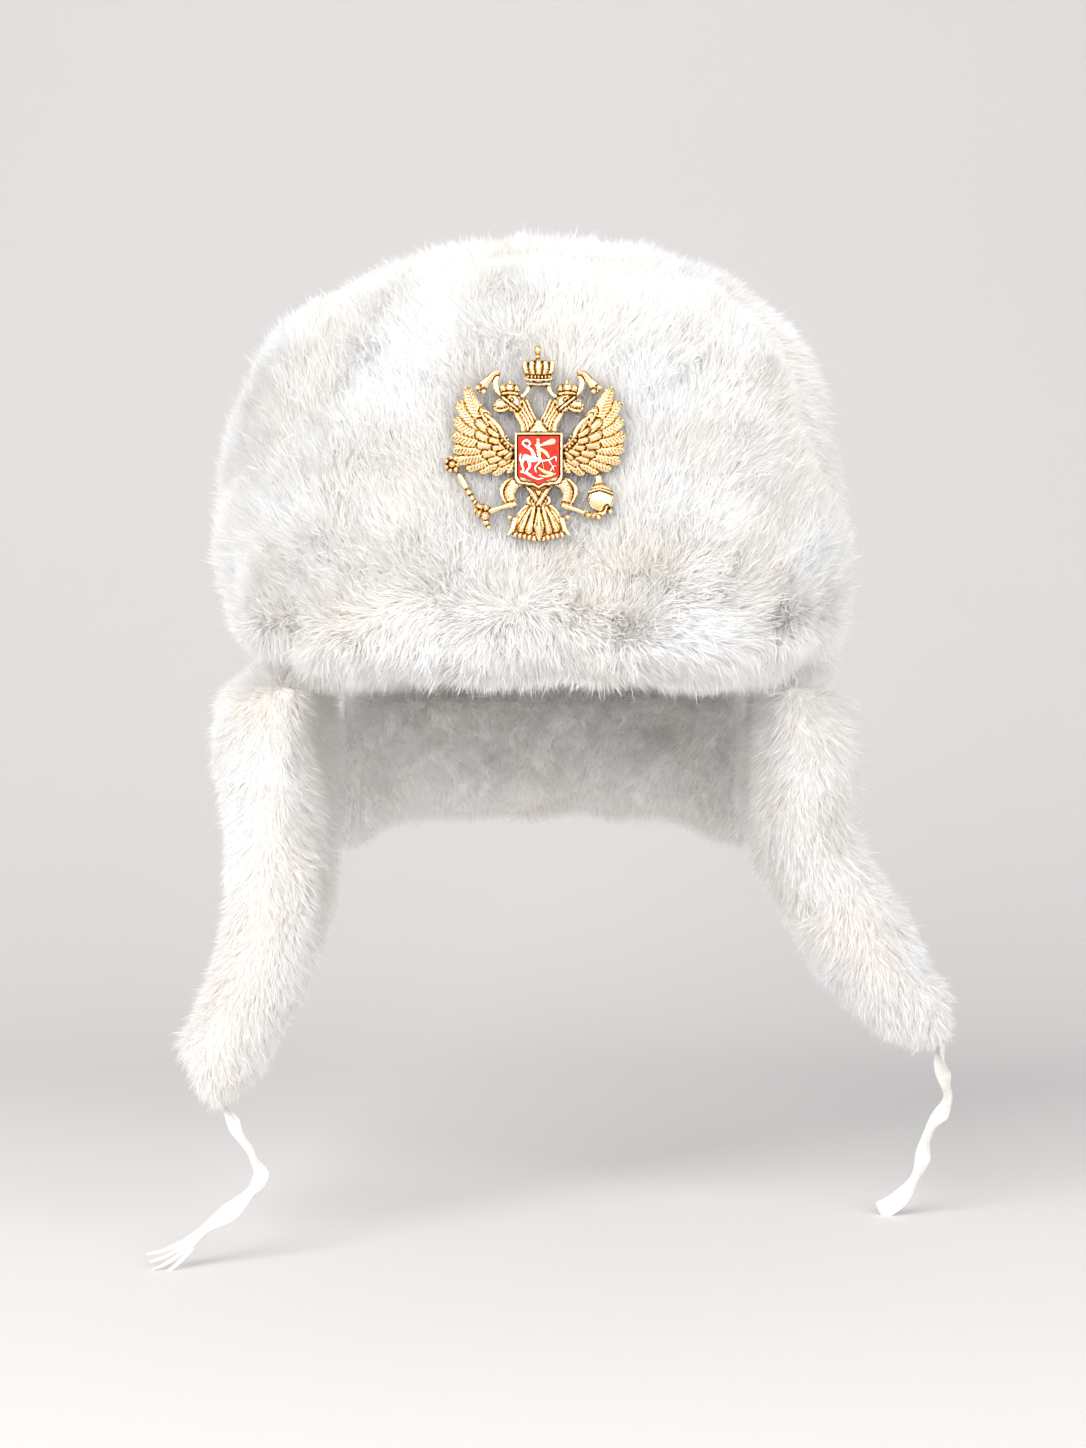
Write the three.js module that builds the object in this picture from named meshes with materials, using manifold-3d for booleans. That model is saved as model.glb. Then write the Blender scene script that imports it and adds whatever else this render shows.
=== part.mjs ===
// Fur ushanka with a turned-up front flap, hanging ear and neck flaps, flat ties and a pierced cast badge.
// Millimetres, +Z up. The front faces -Y and +X is to the right of someone who looks at the front.
// The origin is the top of the head hollow, where the hat sits on the head.
import * as THREE from 'three';
import { mergeVertices } from 'three/addons/utils/BufferGeometryUtils.js';
import Module from 'manifold-3d';

const wasm = await Module();
wasm.setup();

// Head hollow
const HEAD_HALF_WIDTH = 74;
const HEAD_HALF_FRONT = 94;
const HEAD_HALF_BACK = 96;
const HEAD_DEPTH = 140; // from the seat down to the rim

// Padding and pile of the crown, from the head hollow to the fur's surface
const SIDE_PAD = 43;
const FRONT_PAD = 12;
const BACK_PAD = 21;
const TOP_PAD = 27;
const WIDEST_RISE = 48; // height of the widest ring above the rim
const RIM_TUCK = 8; // how far the rim draws in under the widest ring
const DOME_POWER = 2.8;
const PLAN_POWER = 2.35;
const HEAD_POWER = 2.1;

// Fur locks
const LOCK_HEIGHT = 6;
const LOCK_LEAN = 0.3; // share of a lock's own length that its tip hangs down by
const LOCK_WANDER = 3; // how far a row of locks wanders up and down
const LOCK_SWAY = 0.3; // share of a lock's width that its tip may stand aside by

// Front flap, turned up over the crown
const FLAP_GAP = 0.9;
const FLAP_PILE = 23;
const FLAP_LOWER = 144; // depth of the lower edge at the middle
const FLAP_UPPER = -5; // depth of the upper edge at the middle, above the seat
const FLAP_PEAK_RISE = 6; // of the upper right corner
const FLAP_END_DROP = 22; // how much lower the ends of the upper edge are
const FLAP_LEFT_RISE = 24; // how far the lower left corner is rounded up
const FLAP_RIGHT_RISE = 18; // how far the lower right corner is rounded up
const FLAP_PRESSED = 1.5; // how far the pile is pressed back behind the badge
const UNDER_FLAP_REACH = 9; // how far past the upper edge the crown has no locks
const UNDER_FLAP_ANGLE = 11; // the same at the two ends, in degrees

// Ear flaps
const EAR_LENGTH = 165;
const EAR_PILE = 19; // from the middle of the flap to its surface
const EAR_EDGE_SHARE = 0.05; // least share of the pile, at the top and the tip
const RIM_GAP = 0.6; // between the crown's rim and what hangs under it

// Neck flap
const NECK_LENGTH = 60;
const NECK_CORNER_DROP = 26; // how much longer it is at its side ends
const NECK_PILE = 14;
const NECK_HALF_ANGLE = 55;
const NECK_CORNER_ROUND = 14; // how far its lower corners are rounded up
const NECK_POWER = 2.6;

// Ties
const TIE_WIDTH = 8.5;
const TIE_THICK = 1.8;
const TIE_SIDES = 8;
const TIE_STEPS = 14;
const TIES_DROP = 305; // depth of the ear flaps' tips that the routes of the ties were chosen for

// Badge
const BADGE_DROP = 62; // depth of its middle
const BADGE_SHIFT = -1.5; // its middle beside the hat's own middle
const BADGE_WIDTH = 63.3;
const BADGE_REACH = 36; // radius that it covers
const BADGE_PRESS = 14; // how far round it the pile is pressed
const BADGE_SEAT_GAP = 0.3;
const CAST_EDGE = 1.1; // thickness at the edge of a cast form
const ENAMEL_GAP = 0.15;
const ENAMEL_THICK = 0.7;
const CHARGE_HEIGHT = 0.7;
const SHIELD_FLOOR = 1.3;
const SHIELD_LIP = 0.9; // how far the shield's frame stands over its enamel
const SHIELD_HALF_WIDTH = 7.2;
const SHIELD_BORDER = 1;
const SHIELD_MIDDLE_Y = -5.2;
const POST_RADIUS = 1.5;
const POST_LENGTH = 14;
const POST_CLEARANCE = 0.3;
const POST_SIDES = 10;

const CROWN_HEIGHT = HEAD_DEPTH + TOP_PAD;
const OUTER_HALF_WIDTH = HEAD_HALF_WIDTH + SIDE_PAD;
const OUTER_HALF_FRONT = HEAD_HALF_FRONT + FRONT_PAD;
const OUTER_HALF_BACK = HEAD_HALF_BACK + BACK_PAD;
const WIDEST_Z = WIDEST_RISE - HEAD_DEPTH;
const PRESSED_Y = -(OUTER_HALF_FRONT + FLAP_GAP + FLAP_PILE - FLAP_PRESSED); // fur pressed flat behind the badge
const BADGE_Z = -BADGE_DROP;
const BADGE_BACK_Y = PRESSED_Y - BADGE_SEAT_GAP;
const BADGE_SCALE = BADGE_WIDTH / 63.3; // its drawing below is this many millimetres wide

const radians = THREE.MathUtils.degToRad;
const mix = THREE.MathUtils.lerp;
const vector = (x, y, z) => new THREE.Vector3(x, y, z);

// A repeatable number from 0 to 1 for each lock
function chance(a, b, c) {
  const s = Math.sin(a * 12.9898 + b * 78.233 + c * 37.719) * 43758.5453;
  return s - Math.floor(s);
}

// Reach of a rounded plan at an angle that starts at the front and turns towards +X
function planReach(angle, half, front, back, power) {
  const side = Math.abs(Math.sin(angle)) / half;
  const end = Math.abs(Math.cos(angle)) / (Math.cos(angle) > 0 ? front : back);
  return Math.pow(Math.pow(side, power) + Math.pow(end, power), -1 / power);
}

function polar(angle, reach, z) {
  return vector(reach * Math.sin(angle), -reach * Math.cos(angle), z);
}

// Share of the plan that the crown's outer side reaches at a height
function crownShare(z) {
  if (z < WIDEST_Z) {
    const down = (WIDEST_Z - z) / WIDEST_RISE;
    return 1 - (RIM_TUCK / OUTER_HALF_WIDTH) * down * down;
  }
  const up = Math.min(1, (z - WIDEST_Z) / (TOP_PAD - WIDEST_Z));
  return Math.pow(1 - Math.pow(up, DOME_POWER), 1 / DOME_POWER);
}

function crownPoint(angle, z) {
  const reach = planReach(angle, OUTER_HALF_WIDTH, OUTER_HALF_FRONT, OUTER_HALF_BACK, PLAN_POWER);
  return polar(angle, reach * crownShare(z), z);
}

// Unit normal of a surface given by two shares
function normalOf(surface, a, b) {
  const step = 0.01;
  const along = surface(Math.min(1, a + step), b).sub(surface(Math.max(0, a - step), b));
  const down = surface(a, Math.min(1, b + step)).sub(surface(a, Math.max(0, b - step)));
  return down.cross(along).normalize();
}

// Height of a swelling or dent at a place, from rows of across, down, wide, tall and height
function reliefAt(rows, a, b) {
  let sum = 0;
  for (const row of rows) {
    const across = (a - row.across) / row.wide;
    const down = (b - row.down) / row.tall;
    sum += row.height * Math.exp(-across * across - down * down);
  }
  return sum;
}

function meshGeometry(positions, triangles) {
  const geometry = new THREE.BufferGeometry();
  geometry.setAttribute('position', new THREE.Float32BufferAttribute(positions.flatMap((p) => [p.x, p.y, p.z]), 3));
  geometry.setIndex(triangles.flat());
  geometry.computeVertexNormals();
  return geometry;
}

// Covers one four-cornered patch: with a leaning lock, or plainly where the lock has no height
function addPatch(positions, triangles, corners, normal, height, sway) {
  const [a, b, c, d] = corners;
  if (height <= 0) {
    triangles.push([a, c, b], [a, d, c]);
    return;
  }
  const [pa, pb, pc, pd] = corners.map((index) => positions[index]);
  const tip = pa.clone().add(pb).add(pc).add(pd).multiplyScalar(0.25);
  const lean = pd.clone().add(pc).sub(pa).sub(pb).multiplyScalar(LOCK_LEAN / 2);
  const aside = pb.clone().sub(pa).multiplyScalar(sway);
  tip.add(lean).add(aside).addScaledVector(normal, height);
  const index = positions.push(tip) - 1;
  triangles.push([b, a, index], [c, b, index], [d, c, index], [a, d, index]);
}

// A padded sheet with fur locks: two skins that meet round the edge
function furSheet({ columns, rows, surface, front, back, frontLock, backLock, press, crowd = 1 }) {
  const positions = [];
  const triangles = [];
  const grid = [];
  for (let j = 0; j <= rows; j++) {
    grid.push([]);
    for (let i = 0; i <= columns; i++) {
      const inside = i > 0 && i < columns;
      const brick = inside ? (j % 2 ? 0.22 : -0.22) + 0.16 * (chance(i, j, 1) - 0.5) : 0;
      const a = (i + brick) / columns;
      const b = Math.pow(j / rows, crowd);
      const point = surface(a, b);
      const normal = normalOf(surface, a, b);
      const edge = !inside || j === 0 || j === rows;
      const outer = point.clone().addScaledVector(normal, edge ? (front(a, b) - back(a, b)) / 2 : front(a, b));
      press?.(outer);
      const outerIndex = positions.push(outer) - 1;
      const innerIndex = edge ? outerIndex : positions.push(point.clone().addScaledVector(normal, -back(a, b))) - 1;
      grid[j].push({ a, b, normal, outerIndex, innerIndex });
    }
  }
  for (let j = 0; j < rows; j++) {
    for (let i = 0; i < columns; i++) {
      const cell = [grid[j][i], grid[j][i + 1], grid[j + 1][i + 1], grid[j + 1][i]];
      const middle = (key) => cell.reduce((sum, corner) => sum + corner[key], 0) / 4;
      const normal = normalOf(surface, middle('a'), middle('b'));
      const sway = LOCK_SWAY * (chance(i, j, 2) - 0.5);
      const size = 0.6 + 0.8 * chance(i, j, 3);
      const count = positions.length;
      const outerCorners = cell.map((corner) => corner.outerIndex);
      addPatch(positions, triangles, outerCorners, normal, size * frontLock(middle('a'), middle('b')), sway);
      const innerCorners = [1, 0, 3, 2].map((k) => cell[k].innerIndex);
      if (positions.length > count) press?.(positions[positions.length - 1]);
      addPatch(positions, triangles, innerCorners, normal.negate(), size * backLock(middle('a'), middle('b')), sway);
    }
  }
  return meshGeometry(positions, triangles);
}

// Full in the middle and round at the edge, for a share from 0 to 1
function rounded(share, power) {
  return Math.sqrt(Math.max(0, 1 - Math.pow(Math.abs(2 * share - 1), power)));
}

// Front flap: angles of its two ends, from the upper edge to the lower one
const FLAP_ENDS = [
  { down: 0, left: -62, right: 43 },
  { down: 0.35, left: -72, right: 50 },
  { down: 0.7, left: -80, right: 64 },
  { down: 1, left: -74, right: 68 },
];

function fromRows(rows, key, column, at) {
  let k = 0;
  while (k < rows.length - 2 && at > rows[k + 1][key]) k++;
  const share = (at - rows[k][key]) / (rows[k + 1][key] - rows[k][key]);
  return mix(rows[k][column], rows[k + 1][column], THREE.MathUtils.clamp(share, 0, 1));
}

function flapPlace(across, down) {
  const left = fromRows(FLAP_ENDS, 'down', 'left', down);
  const right = fromRows(FLAP_ENDS, 'down', 'right', down);
  const angle = radians(mix(left, right, across));
  const toEnd = Math.abs(2 * across - 1);
  const corner = across < 0.5 ? FLAP_LEFT_RISE * Math.pow(toEnd, 3) : FLAP_RIGHT_RISE * Math.pow(toEnd, 5);
  const peak = FLAP_PEAK_RISE * Math.exp(-Math.pow((across - 0.93) / 0.06, 2));
  const upper = -FLAP_UPPER - FLAP_END_DROP * Math.pow(toEnd, 2.5) + peak;
  const lower = -FLAP_LOWER + corner;
  return { angle, z: mix(upper, lower, down) };
}

function flapSurface(across, down) {
  const place = flapPlace(across, down);
  return crownPoint(place.angle, place.z);
}

// Folds and dents of the front flap, as shares of its width, height and pile
const FLAP_FOLDS = [
  { across: 0.8, down: 0.3, wide: 0.03, tall: 0.16, height: -0.22 },
  { across: 0.9, down: 0.16, wide: 0.05, tall: 0.16, height: 0.2 },
  { across: 0.84, down: 0.52, wide: 0.04, tall: 0.08, height: -0.16 },
  { across: 0.13, down: 0.36, wide: 0.05, tall: 0.06, height: -0.2 },
  { across: 0.08, down: 0.76, wide: 0.04, tall: 0.06, height: -0.16 },
  { across: 0.28, down: 0.74, wide: 0.16, tall: 0.035, height: -0.16 },
  { across: 0.5, down: 0.74, wide: 0.12, tall: 0.08, height: 0.05 },
  { across: 0.55, down: 0.9, wide: 0.2, tall: 0.03, height: -0.14 },
  { across: 0, down: 0.6, wide: 0.2, tall: 0.6, height: -0.5 },
  { across: 1, down: 0.9, wide: 0.12, tall: 0.25, height: -0.3 },
];

function pressedByBadge(point) {
  const near = BADGE_REACH + BADGE_PRESS;
  const away = Math.hypot(point.x - BADGE_SHIFT, point.z - BADGE_Z);
  if (point.y < 0 && away < near) point.y = Math.max(point.y, PRESSED_Y);
}

function frontFlap() {
  const pile = (a, b) => FLAP_GAP + FLAP_PILE * rounded(a, 7) * rounded(b, 6) * (1 + reliefAt(FLAP_FOLDS, a, b));
  return furSheet({
    columns: 27,
    rows: 12,
    surface: flapSurface,
    front: pile,
    back: () => -FLAP_GAP,
    frontLock: () => LOCK_HEIGHT,
    backLock: () => 0,
    press: pressedByBadge,
  });
}

// Whether the flap lies over a place of the crown, with a margin in shares of its size
function underFlap(point) {
  if (point.y > 0.45 * OUTER_HALF_BACK || point.z > -FLAP_UPPER + UNDER_FLAP_REACH) return false;
  const angle = THREE.MathUtils.radToDeg(Math.atan2(point.x, -point.y));
  const down = THREE.MathUtils.clamp((-point.z - FLAP_UPPER) / (FLAP_LOWER - FLAP_UPPER), 0, 1);
  const left = fromRows(FLAP_ENDS, 'down', 'left', down) - UNDER_FLAP_ANGLE;
  const right = fromRows(FLAP_ENDS, 'down', 'right', down) + UNDER_FLAP_ANGLE;
  return angle > left && angle < right;
}

// Heights of rings that lie evenly along the side of a dome, from under its top to its rim
function evenHeights(shareAt, top, bottom, reach, count) {
  const samples = 600;
  const steps = [{ z: top, length: 0, out: 0 }];
  for (let k = 1; k <= samples; k++) {
    const last = steps[steps.length - 1];
    const z = mix(top, bottom, Math.pow(k / samples, 3));
    const out = reach * shareAt(z);
    steps.push({ z, out, length: last.length + Math.hypot(out - last.out, z - last.z) });
  }
  const whole = steps[samples].length;
  const heights = [];
  for (let j = 1; j <= count; j++) heights.push(steps.find((step) => step.length >= (whole * j) / count - 1e-9).z);
  return heights;
}

function hollowShare(z) {
  return Math.pow(1 - Math.pow(1 + Math.min(0, z) / HEAD_DEPTH, DOME_POWER), 1 / DOME_POWER);
}

// Crown: a padded dome with locks outside, a smooth hollow inside and a rim that joins the two
function crown() {
  const columns = 38;
  const outerRows = 14;
  const innerRows = 8;
  const positions = [];
  const triangles = [];
  const addRing = (make) => {
    const ring = [];
    for (let i = 0; i < columns; i++) ring.push(positions.push(make(i)) - 1);
    return ring;
  };
  const outer = [];
  evenHeights(crownShare, TOP_PAD, -HEAD_DEPTH, OUTER_HALF_WIDTH, outerRows).forEach((z, j) => {
    const brick = j % 2 ? 0.25 : -0.25;
    const free = j < outerRows - 1 ? Math.min(1, (TOP_PAD - z) / TOP_PAD) : 0;
    outer.push(addRing((i) => {
      const wander = LOCK_WANDER * free * (chance(i, j, 6) - 0.5);
      return crownPoint((2 * Math.PI * (i + brick)) / columns, z + wander);
    }));
  });
  const inner = [];
  for (const z of evenHeights(hollowShare, 0, -HEAD_DEPTH, HEAD_HALF_WIDTH, innerRows)) {
    inner.push(addRing((i) => {
      const angle = (2 * Math.PI * i) / columns;
      const reach = planReach(angle, HEAD_HALF_WIDTH, HEAD_HALF_FRONT, HEAD_HALF_BACK, HEAD_POWER);
      return polar(angle, reach * hollowShare(z), z);
    }));
  }
  const top = positions.push(vector(0, 0, TOP_PAD)) - 1;
  const seat = positions.push(vector(0, 0, 0)) - 1;
  for (let i = 0; i < columns; i++) {
    const next = (i + 1) % columns;
    triangles.push([top, outer[0][i], outer[0][next]]);
    triangles.push([seat, inner[0][next], inner[0][i]]);
    for (let j = 0; j < outerRows - 1; j++) {
      const corners = [outer[j][i], outer[j][next], outer[j + 1][next], outer[j + 1][i]];
      const middle = corners.reduce((sum, k) => sum.add(positions[k]), vector(0, 0, 0)).multiplyScalar(0.25);
      const one = positions[corners[2]].clone().sub(positions[corners[0]]);
      const two = positions[corners[3]].clone().sub(positions[corners[1]]);
      const normal = two.cross(one).normalize();
      const covered = underFlap(middle) || j === outerRows - 2;
      const height = covered ? 0 : LOCK_HEIGHT * (0.6 + 0.8 * chance(i, j, 5));
      addPatch(positions, triangles, corners, normal, height, LOCK_SWAY * (chance(i, j, 4) - 0.5));
    }
    for (let j = 0; j < innerRows - 1; j++) {
      triangles.push([inner[j][i], inner[j][next], inner[j + 1][next]]);
      triangles.push([inner[j][i], inner[j + 1][next], inner[j + 1][i]]);
    }
    const low = outer[outerRows - 1];
    const rim = inner[innerRows - 1];
    triangles.push([low[next], low[i], rim[i]], [low[next], rim[i], rim[next]]);
  }
  return meshGeometry(positions, triangles);
}

// Sections of the ear flaps down their length. drop is a share of the flap's length, out a share of the
// hat's half width, aft a share of its half depth, bow a share of the half width and thick a share of the pile.
const LEFT_EAR = [
  { drop: 0, frontOut: 0.77, frontAft: -0.52, backOut: 0.74, backAft: 0.45, bow: 0.17, thick: 0.9 },
  { drop: 0.12, frontOut: 0.79, frontAft: -0.52, backOut: 0.76, backAft: 0.45, bow: 0.16, thick: 1 },
  { drop: 0.27, frontOut: 0.86, frontAft: -0.49, backOut: 0.8, backAft: 0.44, bow: 0.06, thick: 1 },
  { drop: 0.42, frontOut: 0.875, frontAft: -0.45, backOut: 0.83, backAft: 0.41, bow: 0.03, thick: 1 },
  { drop: 0.57, frontOut: 0.89, frontAft: -0.42, backOut: 0.86, backAft: 0.36, bow: 0, thick: 1 },
  { drop: 0.71, frontOut: 0.975, frontAft: -0.4, backOut: 0.94, backAft: 0.29, bow: -0.02, thick: 0.92 },
  { drop: 0.84, frontOut: 1.075, frontAft: -0.38, backOut: 1.045, backAft: 0.18, bow: -0.02, thick: 0.86 },
  { drop: 0.95, frontOut: 1.12, frontAft: -0.33, backOut: 1.1, backAft: 0.06, bow: 0, thick: 0.8 },
  { drop: 1, frontOut: 1.06, frontAft: -0.26, backOut: 1.05, backAft: -0.04, bow: 0, thick: 0.75 },
];
const RIGHT_EAR = [
  { drop: 0, frontOut: 0.75, frontAft: -0.5, backOut: 0.74, backAft: 0.45, bow: 0.15, thick: 0.9 },
  { drop: 0.12, frontOut: 0.76, frontAft: -0.5, backOut: 0.77, backAft: 0.45, bow: 0.12, thick: 1 },
  { drop: 0.27, frontOut: 0.8, frontAft: -0.42, backOut: 0.82, backAft: 0.43, bow: 0.05, thick: 1.05 },
  { drop: 0.42, frontOut: 0.895, frontAft: -0.31, backOut: 0.87, backAft: 0.44, bow: 0.02, thick: 1.05 },
  { drop: 0.56, frontOut: 1.01, frontAft: -0.2, backOut: 0.98, backAft: 0.52, bow: 0.02, thick: 1 },
  { drop: 0.7, frontOut: 1.14, frontAft: -0.08, backOut: 1.12, backAft: 0.57, bow: 0.02, thick: 0.97 },
  { drop: 0.79, frontOut: 1.27, frontAft: 0.04, backOut: 1.24, backAft: 0.54, bow: 0.01, thick: 0.9 },
  { drop: 0.87, frontOut: 1.35, frontAft: 0.14, backOut: 1.34, backAft: 0.47, bow: 0, thick: 0.72 },
  { drop: 0.92, frontOut: 1.4, frontAft: 0.25, backOut: 1.39, backAft: 0.39, bow: 0, thick: 0.55 },
];

const EAR_FOLDS = [
  { across: 0.3, down: 0.45, wide: 0.06, tall: 0.3, height: -0.14 },
  { across: 0.62, down: 0.72, wide: 0.08, tall: 0.16, height: -0.12 },
  { across: 0.75, down: 0.3, wide: 0.15, tall: 0.14, height: 0.1 },
];

// The two sides are walked in opposite directions so that each flap's first skin faces outwards
function earSurface(table, side) {
  return (across, down) => {
    const aftShare = side > 0 ? across : 1 - across;
    const at = table[table.length - 1].drop * down;
    const value = (column) => fromRows(table, 'drop', column, at);
    const bow = value('bow') * 4 * aftShare * (1 - aftShare);
    const out = mix(value('frontOut'), value('backOut'), aftShare) + bow;
    const aft = mix(value('frontAft'), value('backAft'), aftShare);
    const z = -HEAD_DEPTH - RIM_GAP - EAR_LENGTH * at;
    return vector(side * out * OUTER_HALF_WIDTH, aft * OUTER_HALF_BACK, z);
  };
}

function earFlap(table, side) {
  const last = table[table.length - 1].drop;
  const thick = (a, b) => {
    const aftShare = side > 0 ? a : 1 - a;
    const full = EAR_PILE * fromRows(table, 'drop', 'thick', last * b);
    const end = Math.max(rounded(b, b < 0.5 ? 24 : 8), EAR_EDGE_SHARE);
    return full * rounded(a, 3.2) * end * (1 + reliefAt(EAR_FOLDS, aftShare, b));
  };
  const lock = (a, b) => LOCK_HEIGHT * (b < 0.05 ? 0 : 0.85);
  return furSheet({
    columns: 9,
    rows: 14,
    surface: earSurface(table, side),
    front: thick,
    back: thick,
    frontLock: lock,
    backLock: (a, b) => 0.7 * lock(a, b),
    crowd: 1.3,
  });
}

function neckFlap() {
  const surface = (across, down) => {
    const angle = radians(180 - NECK_HALF_ANGLE + 2 * NECK_HALF_ANGLE * across);
    const half = (HEAD_HALF_WIDTH + OUTER_HALF_WIDTH) / 2;
    const end = (HEAD_HALF_BACK + OUTER_HALF_BACK) / 2;
    const reach = planReach(angle, half, end, end, NECK_POWER);
    const toEnd = Math.abs(2 * across - 1);
    const corner = NECK_CORNER_DROP * Math.pow(toEnd, 4) - NECK_CORNER_ROUND * Math.pow(toEnd, 20);
    return polar(angle, reach, -HEAD_DEPTH - RIM_GAP - down * (NECK_LENGTH + corner));
  };
  const thick = (a, b) => NECK_PILE * rounded(a, 6) * Math.max(rounded(b, 6), 0.05);
  const lock = (a, b) => LOCK_HEIGHT * (b < 0.15 ? 0 : 0.8);
  return furSheet({
    columns: 13,
    rows: 7,
    surface,
    front: thick,
    back: thick,
    frontLock: lock,
    backLock: (a, b) => 0.6 * lock(a, b),
  });
}

// Routes of the two ties, from the tip of the ear flap to the end that lies on the table
const LEFT_TIE = [
  [-122.6, -18.0, -306.2], [-121.0, -19.4, -309.6], [-118.0, -22.6, -314.4], [-114.2, -26.0, -319.4],
  [-110.6, -29.6, -324.8], [-107.8, -32.4, -329.6], [-108.4, -34.6, -333.6], [-111.2, -36.6, -337.2],
  [-115.4, -38.8, -340.6], [-120.2, -41.0, -344.2], [-125.4, -43.2, -348.0], [-130.8, -45.4, -352.2],
  [-136.2, -47.2, -356.2], [-141.6, -48.8, -359.6], [-147.4, -50.4, -361.6],
];
const RIGHT_TIE = [
  [163.4, 39.0, -292.9], [163.5, 39.2, -297.4], [165.2, 42.0, -302.8], [166.8, 43.4, -308.0],
  [167.6, 44.6, -313.2], [165.8, 45.6, -317.8], [162.4, 46.6, -322.4], [160.0, 47.6, -327.4],
  [158.6, 48.6, -332.8], [157.6, 49.8, -338.4], [156.4, 51.0, -344.0], [154.0, 52.4, -349.4],
  [150.0, 53.8, -354.4], [145.2, 55.0, -358.6], [140.2, 56.2, -361.4],
];

function tie(points) {
  const lower = HEAD_DEPTH + EAR_LENGTH - TIES_DROP;
  const path = new THREE.CatmullRomCurve3(points.map(([x, y, z]) => vector(x, y, z - lower)));
  const section = new THREE.Shape();
  for (let k = 0; k < TIE_SIDES; k++) {
    const turn = (2 * Math.PI * (k + 0.5)) / TIE_SIDES;
    section[k ? 'lineTo' : 'moveTo']((TIE_THICK / 2) * Math.cos(turn), (TIE_WIDTH / 2) * Math.sin(turn));
  }
  section.closePath();
  const geometry = new THREE.ExtrudeGeometry(section, { steps: TIE_STEPS, extrudePath: path, bevelEnabled: false });
  return geometry;
}

function toSolid(geometry) {
  const plain = geometry.clone();
  for (const name of Object.keys(plain.attributes)) if (name !== 'position') plain.deleteAttribute(name);
  const merged = mergeVertices(plain, 1e-4);
  const triVerts = new Uint32Array(merged.index.array);
  const vertProperties = new Float32Array(merged.attributes.position.array);
  return new wasm.Manifold(new wasm.Mesh({ numProp: 3, vertProperties, triVerts }));
}

function toGeometry(solid) {
  const mesh = solid.getMesh();
  const geometry = new THREE.BufferGeometry();
  geometry.setAttribute('position', new THREE.BufferAttribute(new Float32Array(mesh.vertProperties), 3));
  geometry.setIndex(new THREE.BufferAttribute(new Uint32Array(mesh.triVerts), 1));
  geometry.computeVertexNormals();
  return geometry;
}

// A cast form: an outline with upright edges and a crest over one inner point
function castForm(outline, crest, edge, height) {
  const positions = [];
  const triangles = [];
  const count = outline.length;
  const place = ([x, y], z) => vector(BADGE_SCALE * x, BADGE_SCALE * y, z);
  for (const point of outline) positions.push(place(point, 0));
  for (const point of outline) positions.push(place(point, edge));
  const top = positions.push(place(crest, height)) - 1;
  const base = positions.push(place(crest, 0)) - 1;
  for (let k = 0; k < count; k++) {
    const next = (k + 1) % count;
    triangles.push([base, next, k], [top, count + k, count + next]);
    triangles.push([k, next, count + next], [k, count + next, count + k]);
  }
  return toSolid(meshGeometry(positions, triangles));
}

// A feather or other leaf shape from its root to its tip
function leaf(root, tip, width, height) {
  const length = Math.hypot(tip[0] - root[0], tip[1] - root[1]);
  const along = [(tip[0] - root[0]) / length, (tip[1] - root[1]) / length];
  const place = (share, side) => [
    root[0] + along[0] * share * length - along[1] * side * width,
    root[1] + along[1] * share * length + along[0] * side * width,
  ];
  const outline = [place(0, -0.3), place(0.72, -0.5), place(1, -0.12), place(1, 0.12), place(0.72, 0.5), place(0, 0.3)];
  return castForm(outline, place(0.62, 0), CAST_EDGE, height);
}

// A bar between two points, as wide at one end as at the other
function bar(from, to, width, height) {
  const length = Math.hypot(to[0] - from[0], to[1] - from[1]);
  const across = [(-(to[1] - from[1]) / length) * (width / 2), ((to[0] - from[0]) / length) * (width / 2)];
  const outline = [
    [from[0] - across[0], from[1] - across[1]],
    [to[0] - across[0], to[1] - across[1]],
    [to[0] + across[0], to[1] + across[1]],
    [from[0] + across[0], from[1] + across[1]],
  ];
  return castForm(outline, [(from[0] + to[0]) / 2, (from[1] + to[1]) / 2], CAST_EDGE, height);
}

function bead(middle, radius, height, sides = 7) {
  const outline = [];
  for (let k = 0; k < sides; k++) {
    const turn = (2 * Math.PI * k) / sides + 0.3;
    outline.push([middle[0] + radius * Math.cos(turn), middle[1] + radius * Math.sin(turn)]);
  }
  return castForm(outline, middle, CAST_EDGE, height);
}

// Feathers that fan out round an elliptical arc, from one angle to another
function fan({ count, from, to, middle, rootReach, tipReach, width, height }) {
  const feathers = [];
  for (let k = 0; k < count; k++) {
    const turn = radians(mix(from, to, k / (count - 1)));
    const place = (reach) => [middle[0] + reach[0] * Math.cos(turn), middle[1] + reach[1] * Math.sin(turn)];
    feathers.push(leaf(place(rootReach), place(tipReach), width, height));
  }
  return feathers;
}

const LONG_FEATHERS = {
  count: 8, from: 118, to: 272, middle: [14, 4], rootReach: [4, 4], tipReach: [16.8, 15.2], width: 5.4, height: 2,
};
const SHORT_FEATHERS = {
  count: 5, from: 112, to: 262, middle: [12.5, 4.2], rootReach: [1, 2], tipReach: [9.6, 9], width: 4.6, height: 2.8,
};
const TAIL_FEATHERS = {
  count: 7, from: 236, to: 304, middle: [0, -14], rootReach: [2, 1], tipReach: [19, 18.6], width: 4.4, height: 2.4,
};

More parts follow.
